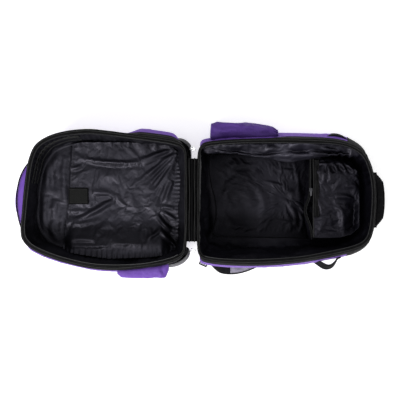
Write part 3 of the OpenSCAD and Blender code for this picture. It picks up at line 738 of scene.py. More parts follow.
def resample_grid(G, su, sv):
    """Doubles the density of a point grid in both directions by smooth interpolation."""
    nv, nu = G.shape[:2]
    mu, mv = int((nu - 1) * su) + 1, int((nv - 1) * sv) + 1
    a = np.linspace(0, nu - 1, mu)
    b = np.linspace(0, nv - 1, mv)
    i = np.clip(a.astype(int), 0, nu - 2)
    t = (a - i)[None, :, None]
    H = G[:, i] * (1 - t) + G[:, i + 1] * t
    j = np.clip(b.astype(int), 0, nv - 2)
    t = (b - j)[:, None, None]
    return H[j] * (1 - t) + H[j + 1] * t


def closed_run(idx, n):
    return idx


BX = BP[:, 0]
i_left = seg(BP, (BP[:, 1] > 0) & (BX > 24) & (BX < 452))
i_right = seg(BP, (BP[:, 1] < 0) & (BX > 24) & (BX < 452))
n = NB
fold_run = [i % n for i in range(0, 0)]


def between(a_end, b_start, n):
    out = [a_end]
    i = a_end
    while i != b_start:
        i = (i + 1) % n
        out.append(i)
    return out


# the control points run from the fold towards -Y, the far end, +Y and back
i_top = between(i_right[-1], i_left[0], NB)
i_bot = between(i_left[-1], i_right[0], NB)
panel("side_panel_left_cloth", BODY_RINGS, i_left, M_PURPLE, "bag", ["side_panel_left"], seed=1)
panel("side_panel_right_cloth", BODY_RINGS, i_right, M_PURPLE, "bag", ["side_panel_right"], seed=2)
panel("top_end_cloth", BODY_RINGS, i_top, M_BLACK, "bag", ["top_end_panel"], seed=3)
panel("bottom_end_cloth", BODY_RINGS, i_bot, M_BLACK, "bag", ["bottom_end_panel"], seed=4)

# piped seams between the panels
def seam_cords(name, rings, runs, body, mat, r=1.5, squash=False, lift=0.6):
    parts = []
    G = np.stack(rings)
    for k in runs:
        path = resample(G[:, k], step=5)
        out = G[len(G) // 2, k] - np.array([240 * np.sign(G[0, k, 0]), 0, 90])
        path = path + unit(out) * lift
        parts.append(sweep(path, circle_sect(r, 8), up=unit(out)))
    o = make(name, *join_vf(parts), mat)
    return done(o, body, squash=squash)


seam_cords("body_seam_piping", BODY_RINGS, [i_left[0], i_left[-1], i_right[0], i_right[-1]], "bag", M_BLACK)

# bottom edge: piping where the walls meet the back panel, and the back panel itself
edge_ring = BODY_RINGS[-1] + np.column_stack([BN * 0.8, np.zeros(NB)])
edge_ring = resample(edge_ring, n=260, closed=True)
done(make("back_edge_piping", *sweep(edge_ring, circle_sect(2.1, 8), closed=True), M_BLACK), "bag")


def disc(ringP, z, c, half, inner, steps, mat, name, noise_amp=0.8, seed=0, dome=0.0):
    """A sheet filling a ring, drawn in towards a segment."""
    P = ringP[:, :2]
    core = np.column_stack([np.clip(P[:, 0], inner[0], inner[1]), np.full(len(P), c[1])])
    rings = []
    for k in range(steps + 1):
        t = k / steps * 0.985
        Q = P * (1 - t) + core * t
        zz = np.full(len(P), z) + dome * math.sin(t * math.pi / 2)
        rings.append(np.column_stack([Q, zz]))
    V, F = loft(rings, cap1=True)
    V[:, 2] += noise_amp * fbm(V, 60, seed, 2) * np.repeat(np.linspace(0, 1, steps + 1), len(P)) ** 0.5
    return make(name, V, F, mat)


o = disc(BODY_RINGS[-1], 16.9, (260, 0), None, (150, 380), 22, M_BLACK, "back_sheet", 0.5, 7)
done(solid(o, 1.6), "bag", ["back_panel"])


# ------------------------------------------------------------------ rim: zip band, tape, teeth, binding
def rim_stack(tag, P, Nn, Z, body, nodes, squash, seed, prof, gain):
    """Band of black cloth with a rolled top, the zip tape leaning inwards from it, the coil, and a grey binding inside."""
    jit = 0.8 * frac_noise(np.column_stack([P, np.zeros(len(P))]), 55, seed)
    lean = 1 + 0.25 * frac_noise(np.column_stack([P, np.zeros(len(P))]), 90, seed + 3)
    B = [(29, 0, 1.0), (22, 0, 0.8), (15, 0, 0.5), (9, 2.2, 0.2), (5.6, 0.8, 0.2), (4.4, -1.4, 1.6), (6.0, -3.4, 3.4), (10, -4.4, 4.4)]
    R = []
    for d, o, f in refine(B, 3):
        under = np.interp(d, prof[:, 0], prof[:, 1]) * gain + 2.3
        k = float(sstep(9, 15, d))
        R.append(ring(P, Nn, Z + jit * 0.6, (1 - k) * (o + jit * 0.5) + k * under, d, f))
    V, F = loft(R)
    V = V + 0.35 * fbm(V, 9, seed, 2)[:, None] * np.array([0.4, 0.4, 1])
    o = solid(make(tag + "_zip_band_cloth", V, F, M_BAND), 1.4)
    done(o, body, [nodes[0]], squash)
    hem = resample(R[0], n=420, closed=True)
    done(make(tag + "_band_piping", *sweep(hem, circle_sect(1.5, 8), closed=True), M_BAND), body, squash=squash)
    # zip tape and coil, open along the sides and the far end
    s = np.sign(P[:, 0].mean())
    on = seg(P, s * P[:, 0] > 33)
    ext = on
    a = ring(P, Nn, Z, -1.2, 6.5)[ext]
    b = ring(P, Nn, Z + jit, -3.0 * lean, 3.4)[ext]
    c = ring(P, Nn, Z + jit * 0.4, -7.4 * lean, 2.0)[ext]
    d = ring(P, Nn, Z + jit * 0.4, -9.4 * lean, 1.9)[ext]
    V, F = loft([a, b, (b + c) / 2 + [0, 0, 0.5], c, d], closed=False)
    parts = [(V, F)]
    tape = solid(make(tag + "_zip_tape", *join_vf(parts), M_TAPE), 0.8)
    done(tape, body, [nodes[1]], squash)
    coil = resample(ring(P, Nn, Z + jit * 0.4, -10.2 * lean, 2.3)[ext], n=900)
    V, F = beads(coil, (0, 0, 1), (1.5, 3.0, 2.0), 2.35)
    core = sweep(resample(coil, step=6), circle_sect(0.9, 6))
    done(make(tag + "_zip_coil", *join_vf([(V, F), core]), M_TEETH, smooth=False), body, squash=squash)
    # seam stitching on the band
    st = [stitches(ring(P, Nn, Z + jit * 0.6, np.interp(24.5, prof[:, 0], prof[:, 1]) * gain + 3.0, 24.5)[ext], np.column_stack([Nn, np.zeros(len(P))])[ext]),
          stitches(ring(P, Nn, Z + jit, -1.0, 4.2)[ext] + [0, 0, 1.0], (0, 0, 1), 2.8, 1.6, 0.4)]
    done(make(tag + "_band_stitching", *join_vf(st), M_THREADK, smooth=False), body, squash=squash)
    # piping cord between the band and the tape
    q = resample(ring(P, Nn, Z + jit * 0.6, -2.9, 2.0), n=420, closed=True)
    q[:, 2] += 0.35 * frac_noise(q, 15, seed + 11)
    done(make(tag + "_rim_piping", *sweep(q, circle_sect(1.15, 8), closed=True), M_BIND), body, squash=squash)
    # grey binding folded over the inner seam
    path = ring(P, Nn, Z + jit * 1.2, -6.2 - 1.2 * lean, 8.6, 6.2)
    path = path + np.column_stack([Nn * (0.9 * frac_noise(path, 24, seed + 8))[:, None], 0.9 * frac_noise(path, 31, seed + 6)])
    sec = np.array([(-0.9, -3.4), (-1.5, 0), (-1.3, 2.6), (0, 3.8), (1.3, 2.6), (1.5, 0), (0.9, -3.4)])
    V, F = sweep(path, sec, closed=True)
    done(make(tag + "_grey_binding", V, F, M_BIND), body, [nodes[2]], squash)


rim_stack("body", BP, BN, BZ, "bag", ["body_zip_band", "body_zip_chain", "body_rim_binding"], False, 21, BODY_PROF, (1 + np.minimum(BODY_GAIN - 1, 0) * 0.8) * (1 - TUCK))
# ------------------------------------------------------------------ lid shell
LX = -LP[:, 0]
gain = np.ones(NB)
up = LP[:, 1] > 0
gain = np.where(up, 0.25 + 1.35 * sstep(190, 150, LX) * sstep(30, 60, LX), 0.55)
for _ in range(6):
    gain = (gain + np.roll(gain, 1) + np.roll(gain, -1)) / 3
LID_PROF = refine([(13, 2.0, 1), (26, 6, 3), (42, 10, 5), (58, 10, 7), (72, 5, 9), (84, -3, 12), (92, -13, 16)])
BELLY = 1 + 0.62 * sstep(0.2, 0.85, -LN[:, 1]) * sstep(40, 90, LX) + 0.9 * sstep(0.6, 0.95, LN[:, 1]) * sstep(34, 60, LX) * sstep(215, 150, LX)
rim_stack("lid", LP, LN, LZ, "lid", ["lid_zip_band", "lid_zip_chain", "lid_rim_binding"], True, 31, LID_PROF, gain)
BOXY = sstep(0.45, 0.85, LN[:, 1]) * sstep(330, 260, LX)          # the side drops straight to the lining's floor here
LID_RINGS = []
for d, o, f in LID_PROF:
    out = o * (gain + (BELLY - 1) * float(sstep(22, 50, d))) if o > 0 else o * (1 - 0.75 * BOXY)
    out = out + BOXY * (1.6 * float(sstep(66, 84, d)))
    LID_RINGS.append(ring(LP, LN, LZ, out, d, f))
for R in LID_RINGS:                                   # the lid's underside stays flat where the rim droops
    R[:, 2] = np.maximum(R[:, 2], 62.6)
j_left = seg(LP, (LP[:, 1] > 0) & (LX > 26) & (LX < 430))
j_right = seg(LP, (LP[:, 1] < 0) & (LX > 26) & (LX < 430))
j_far = between(j_left[-1], j_right[0], NB)
j_fold = between(j_right[-1], j_left[0], NB)
panel("lid_side_left_cloth", LID_RINGS, j_left, M_PURPLE, "lid", ["lid_side_left"], seed=5, squash=True)
panel("lid_side_right_cloth", LID_RINGS, j_right, M_PURPLE, "lid", ["lid_side_right"], seed=6, squash=True)
panel("lid_far_end_cloth", LID_RINGS, j_far, M_PURPLE, "lid", ["lid_top_end"], seed=7, squash=True)
panel("lid_fold_end_cloth", LID_RINGS, j_fold, M_BLACK, "lid", ["lid_bottom_end"], seed=8, squash=True)
seam_cords("lid_seam_piping", LID_RINGS, [j_left[0], j_left[-1], j_right[0], j_right[-1]], "lid", M_BLACK, squash=True)
er = resample(LID_RINGS[-1] + np.column_stack([LN * 0.8, np.zeros(NB)]), n=260, closed=True)
done(make("lid_front_piping", *sweep(er, circle_sect(2.1, 8), closed=True), M_BLACK), "lid", squash=True)
o = disc(LID_RINGS[-1], 62.8, (-250, 0), None, (-380, -130), 22, M_PURPLE, "front_sheet", 0.5, 9)
done(solid(o, 1.4), "lid", ["front_panel"], True)


# ------------------------------------------------------------------ cloth
def mesh_co(o):
    co = np.zeros(len(o.data.vertices) * 3)
    o.data.vertices.foreach_get("co", co)
    return co.reshape(-1, 3)


def cloth(o, pin, frames=16, slack=0.03, pressure=0.0, gravity=0.0, cap=8.0, bend=0.4, tension=15.0, keep=None, quality=5, mass=0.2):
    """Runs a short cloth simulation on o and applies it. pin: a weight per vertex. cap: furthest a point moves, mm."""
    rest = mesh_co(o)
    g = o.vertex_groups.new(name="pin")
    pin = np.clip(np.asarray(pin, float), 0, 1)
    for w in np.unique(np.round(pin, 2)):
        if w > 0:
            g.add([int(i) for i in np.nonzero(np.round(pin, 2) == w)[0]], float(w), "REPLACE")
    m = o.modifiers.new("cloth", "CLOTH")
    s = m.settings
    s.quality = quality
    s.mass = mass
    s.air_damping = 2.0
    s.tension_stiffness = s.compression_stiffness = tension
    s.shear_stiffness = tension * 0.5
    s.bending_stiffness = bend
    s.tension_damping = s.compression_damping = s.shear_damping = 8
    s.vertex_group_mass = "pin"
    s.pin_stiffness = 1.0
    s.shrink_min = -slack
    s.effector_weights.gravity = gravity
    if pressure:
        s.use_pressure = True
        s.uniform_pressure_force = pressure
    m.collision_settings.use_collision = False
    m.collision_settings.use_self_collision = False
    m.point_cache.frame_start = 1
    m.point_cache.frame_end = frames + 1
    SC.frame_start, SC.frame_end = 1, frames + 1
    for f in range(1, frames + 1):
        SC.frame_set(f)
    dg = bpy.context.evaluated_depsgraph_get()
    ev = o.evaluated_get(dg)
    me = ev.to_mesh()
    co = np.zeros(len(me.vertices) * 3)
    me.vertices.foreach_get("co", co)
    co = co.reshape(-1, 3)
    ev.to_mesh_clear()
    o.modifiers.remove(m)
    SC.frame_set(1)
    if len(co) != len(rest) or not np.isfinite(co).all():
        return o
    d = co - rest
    r = np.linalg.norm(d, axis=1, keepdims=True)
    c = cap / 1000
    d = d * (c * np.tanh(r / c) / np.maximum(r, 1e-9))
    out = rest + d
    if keep is not None:
        out = keep(out)
    o.data.vertices.foreach_set("co", out.astype(np.float32).ravel())
    o.data.update()
    return o


def grid_sheet(U, Vv, fn, name, mat):
    """A sheet over a grid; fn takes the flat parameter arrays and returns points in mm."""
    uu, vv = np.meshgrid(U, Vv)
    P = fn(uu.ravel(), vv.ravel())
    nu, nv = len(U), len(Vv)
    F = [(r * nu + i, r * nu + i + 1, (r + 1) * nu + i + 1, (r + 1) * nu + i) for r in range(nv - 1) for i in range(nu - 1)]
    o = make(name, P, F, mat)
    return o, uu.ravel(), vv.ravel()


def match_ring(P, ctrl):
    """For each point of P the point of a closed control curve that lies in the same direction."""
    C = resample(spline(ctrl, 12), n=1600, closed=True)

    def ang(Q):
        lo, hi = Q.min(0), Q.max(0)
        q = (Q - (lo + hi) / 2) / ((hi - lo) / 2)
        return np.arctan2(q[:, 1], q[:, 0])

    a, b = ang(P), ang(C)
    k = np.argsort(b)
    b, C = b[k], C[k]
    b = np.r_[b - 2 * math.pi, b, b + 2 * math.pi]
    C = np.vstack([C, C, C])
    return np.stack([np.interp(a, b, C[:, 0]), np.interp(a, b, C[:, 1])], 1)


def weld(o, d=0.8):
    bm = bmesh.new()
    bm.from_mesh(o.data)
    bmesh.ops.remove_doubles(bm, verts=bm.verts, dist=d / 1000)
    bmesh.ops.recalc_face_normals(bm, faces=bm.faces)
    bm.to_mesh(o.data)
    bm.free()
    o.data.validate()
    return o


def normals_of(V, F, n=None):
    """Vertex normals of a quad grid given as arrays."""
    V = np.asarray(V, float)
    out = np.zeros_like(V)
    Q = np.array([f for f in F if len(f) == 4])
    fn = np.cross(V[Q[:, 2]] - V[Q[:, 0]], V[Q[:, 3]] - V[Q[:, 1]])
    for k in range(4):
        np.add.at(out, Q[:, k], fn)
    return unit(out)


def rounded(ctrl, n=160):
    return resample(spline(ctrl, 12), n=n, closed=True)


def inset(P, d):
    """Closed outline moved inwards by d along its normals."""
    T = unit(np.roll(P, -1, 0) - np.roll(P, 1, 0))
    Nn = np.stack([T[:, 1], -T[:, 0]], 1)
    if ((P - P.mean(0)) * Nn).sum() < 0:
        Nn = -Nn
    for _ in range(3):
        Nn = unit(Nn + 0.5 * (np.roll(Nn, 1, 0) + np.roll(Nn, -1, 0)))
    return P - Nn * d


def bend_strap(path, normals, w, t, tilt=0.0):
    """Webbing swept along a path; normals point out of its face."""
    T = unit(np.gradient(path, axis=0))
    U = unit(np.asarray(normals, float))
    U = unit(U - (U * T).sum(1, keepdims=True) * T)
    S = np.cross(T, U)
    c, s = math.cos(tilt), math.sin(tilt)
    return sweep(path, strap_sect(w, t), up=U * c + S * s)


# ------------------------------------------------------------------ body lining
FLOOR_B = [(50, 118), (51, 92), (58, 45), (68, 8), (73, -25), (71, -62), (62, -92), (64, -106), (84, -113), (140, -114), (220, -115), (320, -117),
           (400, -120), (455, -108), (485, -82), (494, -40), (496, 0), (494, 45), (485, 88), (462, 118), (400, 134), (300, 140), (200, 143),
           (110, 146), (66, 146), (54, 138)]
WALL_B = spline([(148, 0.0), (141, 0.012), (130, 0.04), (114, 0.10), (96, 0.18), (78, 0.28), (60, 0.42), (45, 0.58), (35, 0.76), (29.5, 0.9), (27.2, 1.0)], 3, closed=False)
zz_ = np.r_[np.linspace(148, 131, 22), np.linspace(129.5, 92, 12), np.linspace(87, 27.2, 12)]
WALL_B = np.column_stack([zz_, np.interp(-zz_, -WALL_B[:, 0], WALL_B[:, 1])])
TOP_B = ring(BP, BN, BZ, -5.5, 12, 5.5)
FLR_B = match_ring(BP, FLOOR_B)
bill_x = [20, 43, 120, 198, 250, 285, 330, 392, 431, 474, 505]
bill_y = [10, 24, 33, 46, 57, 60, 53, 39, 30, 20, 8]
BILL = np.interp(BP[:, 0], bill_x, bill_y) * sstep(0.55, 0.95, BN[:, 1])
BILL_S = np.interp(BP[:, 0], [20, 80, 200, 330, 420, 470], [4, 10, 14, 10, 6, 2]) * sstep(0.6, 0.95, -BN[:, 1])


def floor_height(P):
    """Relief of the bay floor: the ring under the lining, and soft creases."""
    P = np.asarray(P, float)
    z = np.zeros(len(P))
    r = np.hypot(P[:, 0] - 155, P[:, 1] + 12)
    z += (0.9 + 5.6 * sstep(-46, 44, P[:, 1] + 0.3 * (P[:, 0] - 155))) * np.exp(-((r - 64) / 13.0) ** 2) * (0.8 + 0.2 * frac_noise(np.column_stack([P, 0 * z]), 60, 3))
    z += 2.0 * fbm(np.column_stack([P[:, 0] * 0.7, P[:, 1], 0 * z]), 62, 12, 2)
    z += folds(P, [
        ((200, 60), (235, 58), (285, 38), 9, 4.2), ((210, 42), (240, 44), (290, 22), 7, 2.4), ((180, 74), (210, 88), (262, 80), 10, 2.2),
        ((62, 70), (72, 30), (66, -20), 8, 3.2), ((80, 120), (72, 90), (78, 52), 6, 3.4), ((94, 122), (90, 96), (98, 60), 5, 2.4),
        ((300, -20), (322, -46), (318, -90), 9, 3.0), ((262, 10), (300, -8), (320, -44), 8, 2.4), ((240, -60), (280, -72), (330, -68), 8, 2.8),
        ((96, -70), (150, -92), (230, -84), 10, 2.0), ((330, 80), (322, 40), (330, 4), 7, 3.0), ((90, 40), (110, 60), (150, 68), 8, 2.0),
        ((270, 96), (300, 88), (336, 96), 7, 2.4), ((88, -20), (100, -60), (140, -100), 6, 1.8), ((120, 110), (170, 104), (230, 112), 7, 2.0)])
    return z


def lining_rings():
    rings, zw = [], []
    for z, t in WALL_B:
        s = (148 - z) / 121
        Q = TOP_B[:, :2] * (1 - t) + FLR_B * t
        g = float(sstep(149, 133, z) * sstep(92, 124, z))
        Q = Q.copy()
        Q[:, 1] -= np.where(BN[:, 1] > 0, BILL * g * (1 - 0.55 * t), 0)
        g2 = float(sstep(148, 118, z) * sstep(40, 100, z))
        Q[:, 1] += BILL_S * g2
        top = TOP_B[:, 2]
        rings.append(np.column_stack([Q, z + (top - 148) * max(0, 1 - 2 * s)]))
    W = np.stack(rings)
    # wrinkles: gathers below the rim, and long slack folds lower down
    arc = np.r_[0, np.cumsum(np.linalg.norm(np.diff(BP, axis=0), axis=1))]
    nW = len(W)
    S = ((148 - WALL_B[:, 0]) / 120.8)[:, None]
    hn = np.column_stack([BN, np.zeros(NB)])
    flat = W.reshape(-1, 3)
    d = 2.6 * fbm(flat * [0.45, 0.45, 1.1], 44, 41, 3).reshape(nW, NB) + 1.1 * fbm(flat * [1, 1, 0.6], 17, 47, 2).reshape(nW, NB)
    corner = sstep(400, 440, BP[:, 0]) * sstep(20, 60, BP[:, 1])
    per = arc[None] / 2.35 + 1.4 * frac_noise(flat, 34, 51).reshape(nW, NB)
    d += (0.5 * np.sin(per * 1.6)) * np.exp(-((S - 0.16) / 0.2) ** 2)
    d += 4.6 * corner[None] * np.sin(arc[None] / 3.6 + 1.2 * frac_noise(flat, 40, 52).reshape(nW, NB)) * np.exp(-((S - 0.22) / 0.2) ** 2)
    d *= sstep(0.0, 0.10, S) * (1 - sstep(0.94, 1.0, S))
    d = np.where(d < 0, d * 0.3, d)
    W = W - hn[None] * d[..., None]
    W[..., 2] += 1.5 * frac_noise(flat, 26, 57).reshape(nW, NB) * sstep(0.04, 0.2, S) * (1 - sstep(0.85, 1.0, S))
    # the roll of slack cloth along the +Y side has its own creases
    on_y = sstep(0.6, 0.95, BN[:, 1])[None] * sstep(0.004, 0.03, S) * (1 - sstep(0.15, 0.26, S))
    W[..., 2] += (on_y.reshape(-1) * (3.2 * fbm(flat, 44, 58, 2) + 1.4 * fbm(flat, 18, 59, 2))).reshape(nW, NB)
    xy = np.column_stack([flat[:, 0], flat[:, 1]])
    W[..., 2] += on_y * folds(xy, [((205, 150), (250, 146), (300, 128), 7, 8.0), ((232, 134), (262, 126), (300, 122), 5, 7.0), ((110, 158), (170, 156), (230, 150), 8, 4.4),
                                   ((250, 164), (310, 156), (372, 164), 10, 9.0), ((262, 140), (300, 136), (350, 143), 4, -9.0), ((350, 143), (396, 134), (446, 136), 4, -8.0),
                                   ((225, 128), (290, 121), (360, 128), 6, 6.0), ((360, 128), (400, 126), (446, 130), 5, 6.0), ((90, 168), (150, 162), (240, 166), 9, 5.0),
                                   ((64, 150), (110, 144), (180, 134), 5, -5.0), ((180, 134), (214, 130), (256, 140), 5, -6.0), ((60, 164), (120, 150), (190, 140), 7, 4.0),
                                   ((290, 152), (330, 160), (372, 150), 8, 6.0), ((372, 150), (400, 140), (432, 138), 6, 6.4), ((380, 132), (420, 130), (470, 126), 5, 5.0),
                                   ((330, 140), (360, 132), (392, 140), 5, 3.0)]).reshape(nW, NB)
    return W


LW = lining_rings()
CORE_B = np.array([290.0, 8.0]) + (FLR_B - [290.0, 8.0]) * 0.03
fl = []
for k in range(1, 31):
    t = k / 30
    fl.append(np.column_stack([FLR_B * (1 - t) + CORE_B * t, np.full(NB, 26.9)]))
fl = np.stack(fl)
ff = fl.reshape(-1, 3)
edge_in = sstep(0, 0.16, np.repeat(np.arange(1, 31) / 30, NB))
ff[:, 2] += np.maximum(floor_height(ff[:, :2]), -0.1) * edge_in + 1.3
V = np.vstack([LW.reshape(-1, 3), ff])
_, F = loft([V[i * NB:(i + 1) * NB] for i in range(len(V) // NB)], cap1=True)
BL = make("bay_lining", V, F, M_LIN)
nWall = len(LW) * NB
ringi = np.arange(len(V)) // NB
pin = np.where(ringi < 3, 1.0, np.where(ringi < len(LW) - 3, 0.06, np.where(ringi < len(LW) + 4, 1.0, 0.12)))
V0 = V.copy()


def keep_lining(co):
    z = co[:, 2] * 1000
    co[:, 2] = np.maximum(z, np.where(V0[:, 2] > 48, 29.5, V0[:, 2] - 0.4)) / 1000
    return co


cloth(BL, pin, frames=14, slack=0.035, cap=5.5, bend=0.3, keep=keep_lining)
done(solid(BL, 1.1), "bag", ["body_lining"])
# taped seam where wall and floor meet
p = np.column_stack([resample(FLR_B, n=300, closed=True), np.full(300, 28.0)])
p[:, 2] += 0.5 * frac_noise(p, 30, 5)
done(make("bay_floor_seam", *sweep(p, circle_sect(1.6, 7), closed=True), M_BAND), "bag")
r = np.linspace(0, 2 * math.pi, 96, endpoint=False)
cup = np.column_stack([155 + 64 * np.cos(r), -12 + 64 * np.sin(r), np.full(96, 26.6)])
cs = circle_sect(6, 14, 1.1)
done(make("ball_cup_ring", *sweep(cup, cs, closed=True), M_FOAM), "bag", ["ball_cup"])

# ------------------------------------------------------------------ accessory pocket
def wall_edge(y):
    """X of the accessory wall's top edge: straight where the zip is closed, bowed where it is open."""
    y = np.asarray(y, float)
    return 351.5 - 17.5 * np.exp(-((y + 32) / 36.0) ** 2) - 3.0 * np.exp(-((y - 60) / 50) ** 2) + 3 * sstep(-70, -110, y)


def acc_wall(u, v):
    y = -118 + 244 * u
    z = 30 + 68 * v
    x = 352 + (wall_edge(y) - 352) * v ** 1.3 - 9 * np.sin(np.pi * v) * np.exp(-((y + 10) / 90) ** 2)
    P = np.column_stack([x, y, z])
    x = x + 2.6 * fbm(P * [1, 0.6, 1], 36, 61, 3) * np.sin(np.pi * np.clip(v, 0.02, 1)) + 0.7 * np.sin(y / 3.4 + 2 * frac_noise(P, 25, 3)) * np.exp(-(1 - v) * 7)
    return np.column_stack([x, y, z])


o, u_, v_ = grid_sheet(np.linspace(0, 1, 110), np.linspace(0, 1, 34), acc_wall, "accessory_wall_cloth", M_LIN)
cloth(o, np.where((v_ < 0.03) | (v_ > 0.97) | (u_ < 0.02) | (u_ > 0.98), 1.0, 0.08), frames=10, slack=0.03, cap=4.0)
done(solid(o, 1.2), "bag", ["accessory_wall"])

yz = np.linspace(-112, 122, 90)
e1 = np.column_stack([wall_edge(yz), yz, 98.4 + 0.8 * np.sin(yz / 21)])
tape_w = sweep(e1, np.array([(-4.0, -0.5), (4.0, -0.5), (4.0, 0.5), (-4.0, 0.5)]), up=(0.25, 0, 1))
done(make("accessory_zip_tape", *tape_w, M_TAPE), "bag")
yc = np.linspace(34, 122, 60)
open_y = np.linspace(-108, 30, 80)
rows = [beads(np.column_stack([np.full(60, 349.9) + 0.3 * np.sin(yc / 9), yc, np.full(60, 99.9)]), (0, 0, 1), (1.5, 3.8, 1.9), 2.3),
        beads(np.column_stack([wall_edge(open_y) + 3.4, open_y, 99.4 + 0 * open_y]), (0, 0, 1), (1.5, 2.2, 1.8), 2.3)]
done(make("accessory_zip_coil", *join_vf(rows), M_TEETH, smooth=False), "bag", ["accessory_zip"])


def cover_rel(P):
    z = 1.6 * fbm(np.column_stack([P, 0 * P[:, 0]]), 52, 71, 3)
    z += 9.0 * sstep(8, 84, P[:, 1]) * sstep(366, 392, P[:, 0]) - 15.0 * sstep(446, 486, P[:, 0]) * sstep(26, -16, P[:, 1]) - 6.0 * sstep(-20, -80, P[:, 1]) * sstep(380, 420, P[:, 0])
    z += folds(P, [
        ((418, 10), (455, 14), (500, -6), 8, 7.5), ((426, -4), (446, -30), (446, -96), 9, 5.5), ((500, -6), (490, -40), (488, -100), 6, 4.5),
        ((372, 84), (410, 66), (450, 40), 12, 6.0), ((450, 40), (474, 44), (496, 30), 8, 4.0), ((366, 20), (380, -10), (384, -60), 8, 3.6),
        ((396, 104), (402, 90), (404, 74), 5, 6.0), ((414, 108), (424, 92), (428, 78), 5, 7.0), ((434, 108), (446, 94), (452, 80), 5, 7.0),
        ((452, 106), (466, 92), (476, 78), 5, 7.0), ((470, 98), (484, 82), (494, 70), 5, 6.5), ((480, 70), (492, 58), (500, 48), 5, 6.0),
        ((384, -84), (410, -92), (440, -88), 8, 3.4), ((376, 46), (400, 40), (424, 18), 9, 3.6), ((400, -40), (412, -60), (414, -96), 7, 2.8)])
    return z


def cover_pt(u, v):
    x = 359 + 136 * u
    hi = np.interp(x, [359, 400, 440, 470, 497], [127, 125, 124, 114, 84])
    lo = np.interp(x, [359, 400, 440, 470, 497], [-112, -113, -111, -103, -78])
    y = lo + (hi - lo) * v
    P = np.column_stack([x, y])
    bulge = 5.0 * np.sin(np.pi * np.clip(u, 0, 1)) ** 0.8 * np.sin(np.pi * v) ** 0.6
    edge_w = np.minimum(1, np.minimum(u, 1 - u) * 9 + 0.12) * np.minimum(1, np.minimum(v, 1 - v) * 12 + 0.1)
    z = 99.6 + bulge * 0.5 + cover_rel(P) * edge_w
    x = x + 1.2 * np.exp(-u * 14) * np.sin(y / 15)
    return np.column_stack([x, y, z])


o, u_, v_ = grid_sheet(np.linspace(0, 1, 76), np.linspace(0, 1, 128), cover_pt, "accessory_cover_cloth", M_LIN)
cloth(o, np.where((u_ < 0.03) | (u_ > 0.98) | (v_ < 0.02) | (v_ > 0.98), 1.0, 0.05), frames=14, slack=0.035, cap=5.0, bend=0.2)
done(solid(o, 1.2), "cover_flap", ["accessory_cover"])
# light tape and piped edge on the cover's mouth
yy = np.linspace(-50, 119, 70)
a = np.column_stack([np.full(70, 367.5), yy, 103.3 + 0.5 * np.sin(yy / 17)])
o1 = sweep(a, np.array([(-7.2, -0.5), (7.2, -0.5), (7.2, 0.35), (0, 0.8), (-7.2, 0.35)]))
done(make("cover_edge_tape", *o1, M_TAPE), "cover_flap")
yy = np.linspace(-110, 122, 90)
a = np.column_stack([np.full(90, 358.6) + 0.9 * np.sin(yy / 24), yy, np.full(90, 100.4)])
done(make("cover_edge_piping", *sweep(a, circle_sect(1.5, 8)), M_BIND), "cover_flap")
st = [stitches(np.column_stack([np.full(60, x), np.linspace(-46, 116, 60), np.full(60, 104.1)]), (0, 0, 1), 2.6, 1.6, 0.35) for x in (362.5, 372.5)]
done(make("cover_edge_stitching", *join_vf(st), M_THREADK, smooth=False), "cover_flap")

# ------------------------------------------------------------------ lid lining
FLOOR_L = [(-43, 0), (-43, 80), (-45, 134), (-54, 155), (-92, 164), (-150, 168), (-200, 172), (-300, 178), (-368, 168), (-416, 148), (-443, 112), (-458, 66), (-466, 0),
           (-468, -56), (-456, -98), (-430, -126), (-388, -144), (-330, -160), (-250, -168), (-150, -166), (-84, -158), (-56, -145), (-45, -112), (-43, -60)]
TOP_L = ring(LP, LN, LZ, -5.5, 12, 5.5)
FLR_L = match_ring(LP, FLOOR_L)
rings = []
WALL_L = spline([(0, 0.0), (0.10, 0.05), (0.28, 0.17), (0.48, 0.34), (0.68, 0.55), (0.84, 0.75), (0.94, 0.90), (1, 1)], 3, closed=False)
for s, t in WALL_L:
    z = TOP_L[:, 2] * (1 - s) + 67.0 * s
    rings.append(np.column_stack([TOP_L[:, :2] * (1 - t) + FLR_L * t, z]))
W = np.stack(rings)
nW = len(W)
S = WALL_L[:, :1]
flat = W.reshape(-1, 3)
arc = np.r_[0, np.cumsum(np.linalg.norm(np.diff(LP, axis=0), axis=1))]
d = 2.0 * fbm(flat * [0.5, 0.5, 1], 36, 81, 3).reshape(nW, NB)
corner = sstep(-250, -330, LP[:, 0]) * sstep(60, 120, LP[:, 1])
d += (0.5 + 2.4 * corner)[None] * np.sin(arc[None] / 2.6 + 1.6 * frac_noise(flat, 30, 83).reshape(nW, NB)) * np.exp(-((S - 0.35) / 0.3) ** 2)
d += 3.2 * corner[None] * np.exp(-((S - 0.30) / 0.10) ** 2)
d *= sstep(0.0, 0.12, S) * (1 - sstep(0.9, 1.0, S))
d = np.where(d < 0, d * 0.3, d)
W = W - np.column_stack([LN, np.zeros(NB)])[None] * d[..., None]
CORE_L = np.array([-250.0, 4.0]) + (FLR_L - [-250.0, 4.0]) * 0.03
fl = np.stack([np.column_stack([FLR_L * (1 - k / 28) + CORE_L * (k / 28), np.full(NB, 66.6)]) for k in range(1, 29)])
ff = fl.reshape(-1, 3)
far = folds(ff[:, :2], [
    ((-446, 90), (-454, 30), (-450, -30), 9, 9.0), ((-450, -20), (-456, -60), (-440, -104), 8, 8.0), ((-432, 124), (-442, 90), (-438, 40), 8, 6.0),
    ((-432, 130), (-440, 60), (-430, 10), 11, 7.0), ((-408, 150), (-414, 80), (-404, 20), 12, 6.0), ((-440, 20), (-446, -30), (-440, -90), 11, 6.0),
    ((-412, 10), (-420, -50), (-414, -118), 12, 6.5), ((-386, 140), (-392, 60), (-384, -10), 9, 4.5), ((-388, -10), (-396, -60), (-396, -124), 9, 5.0),
    ((-432, -64), (-428, -90), (-402, -128), 8, 5.0), ((-430, 86), (-420, 110), (-400, 140), 8, 4.0)])
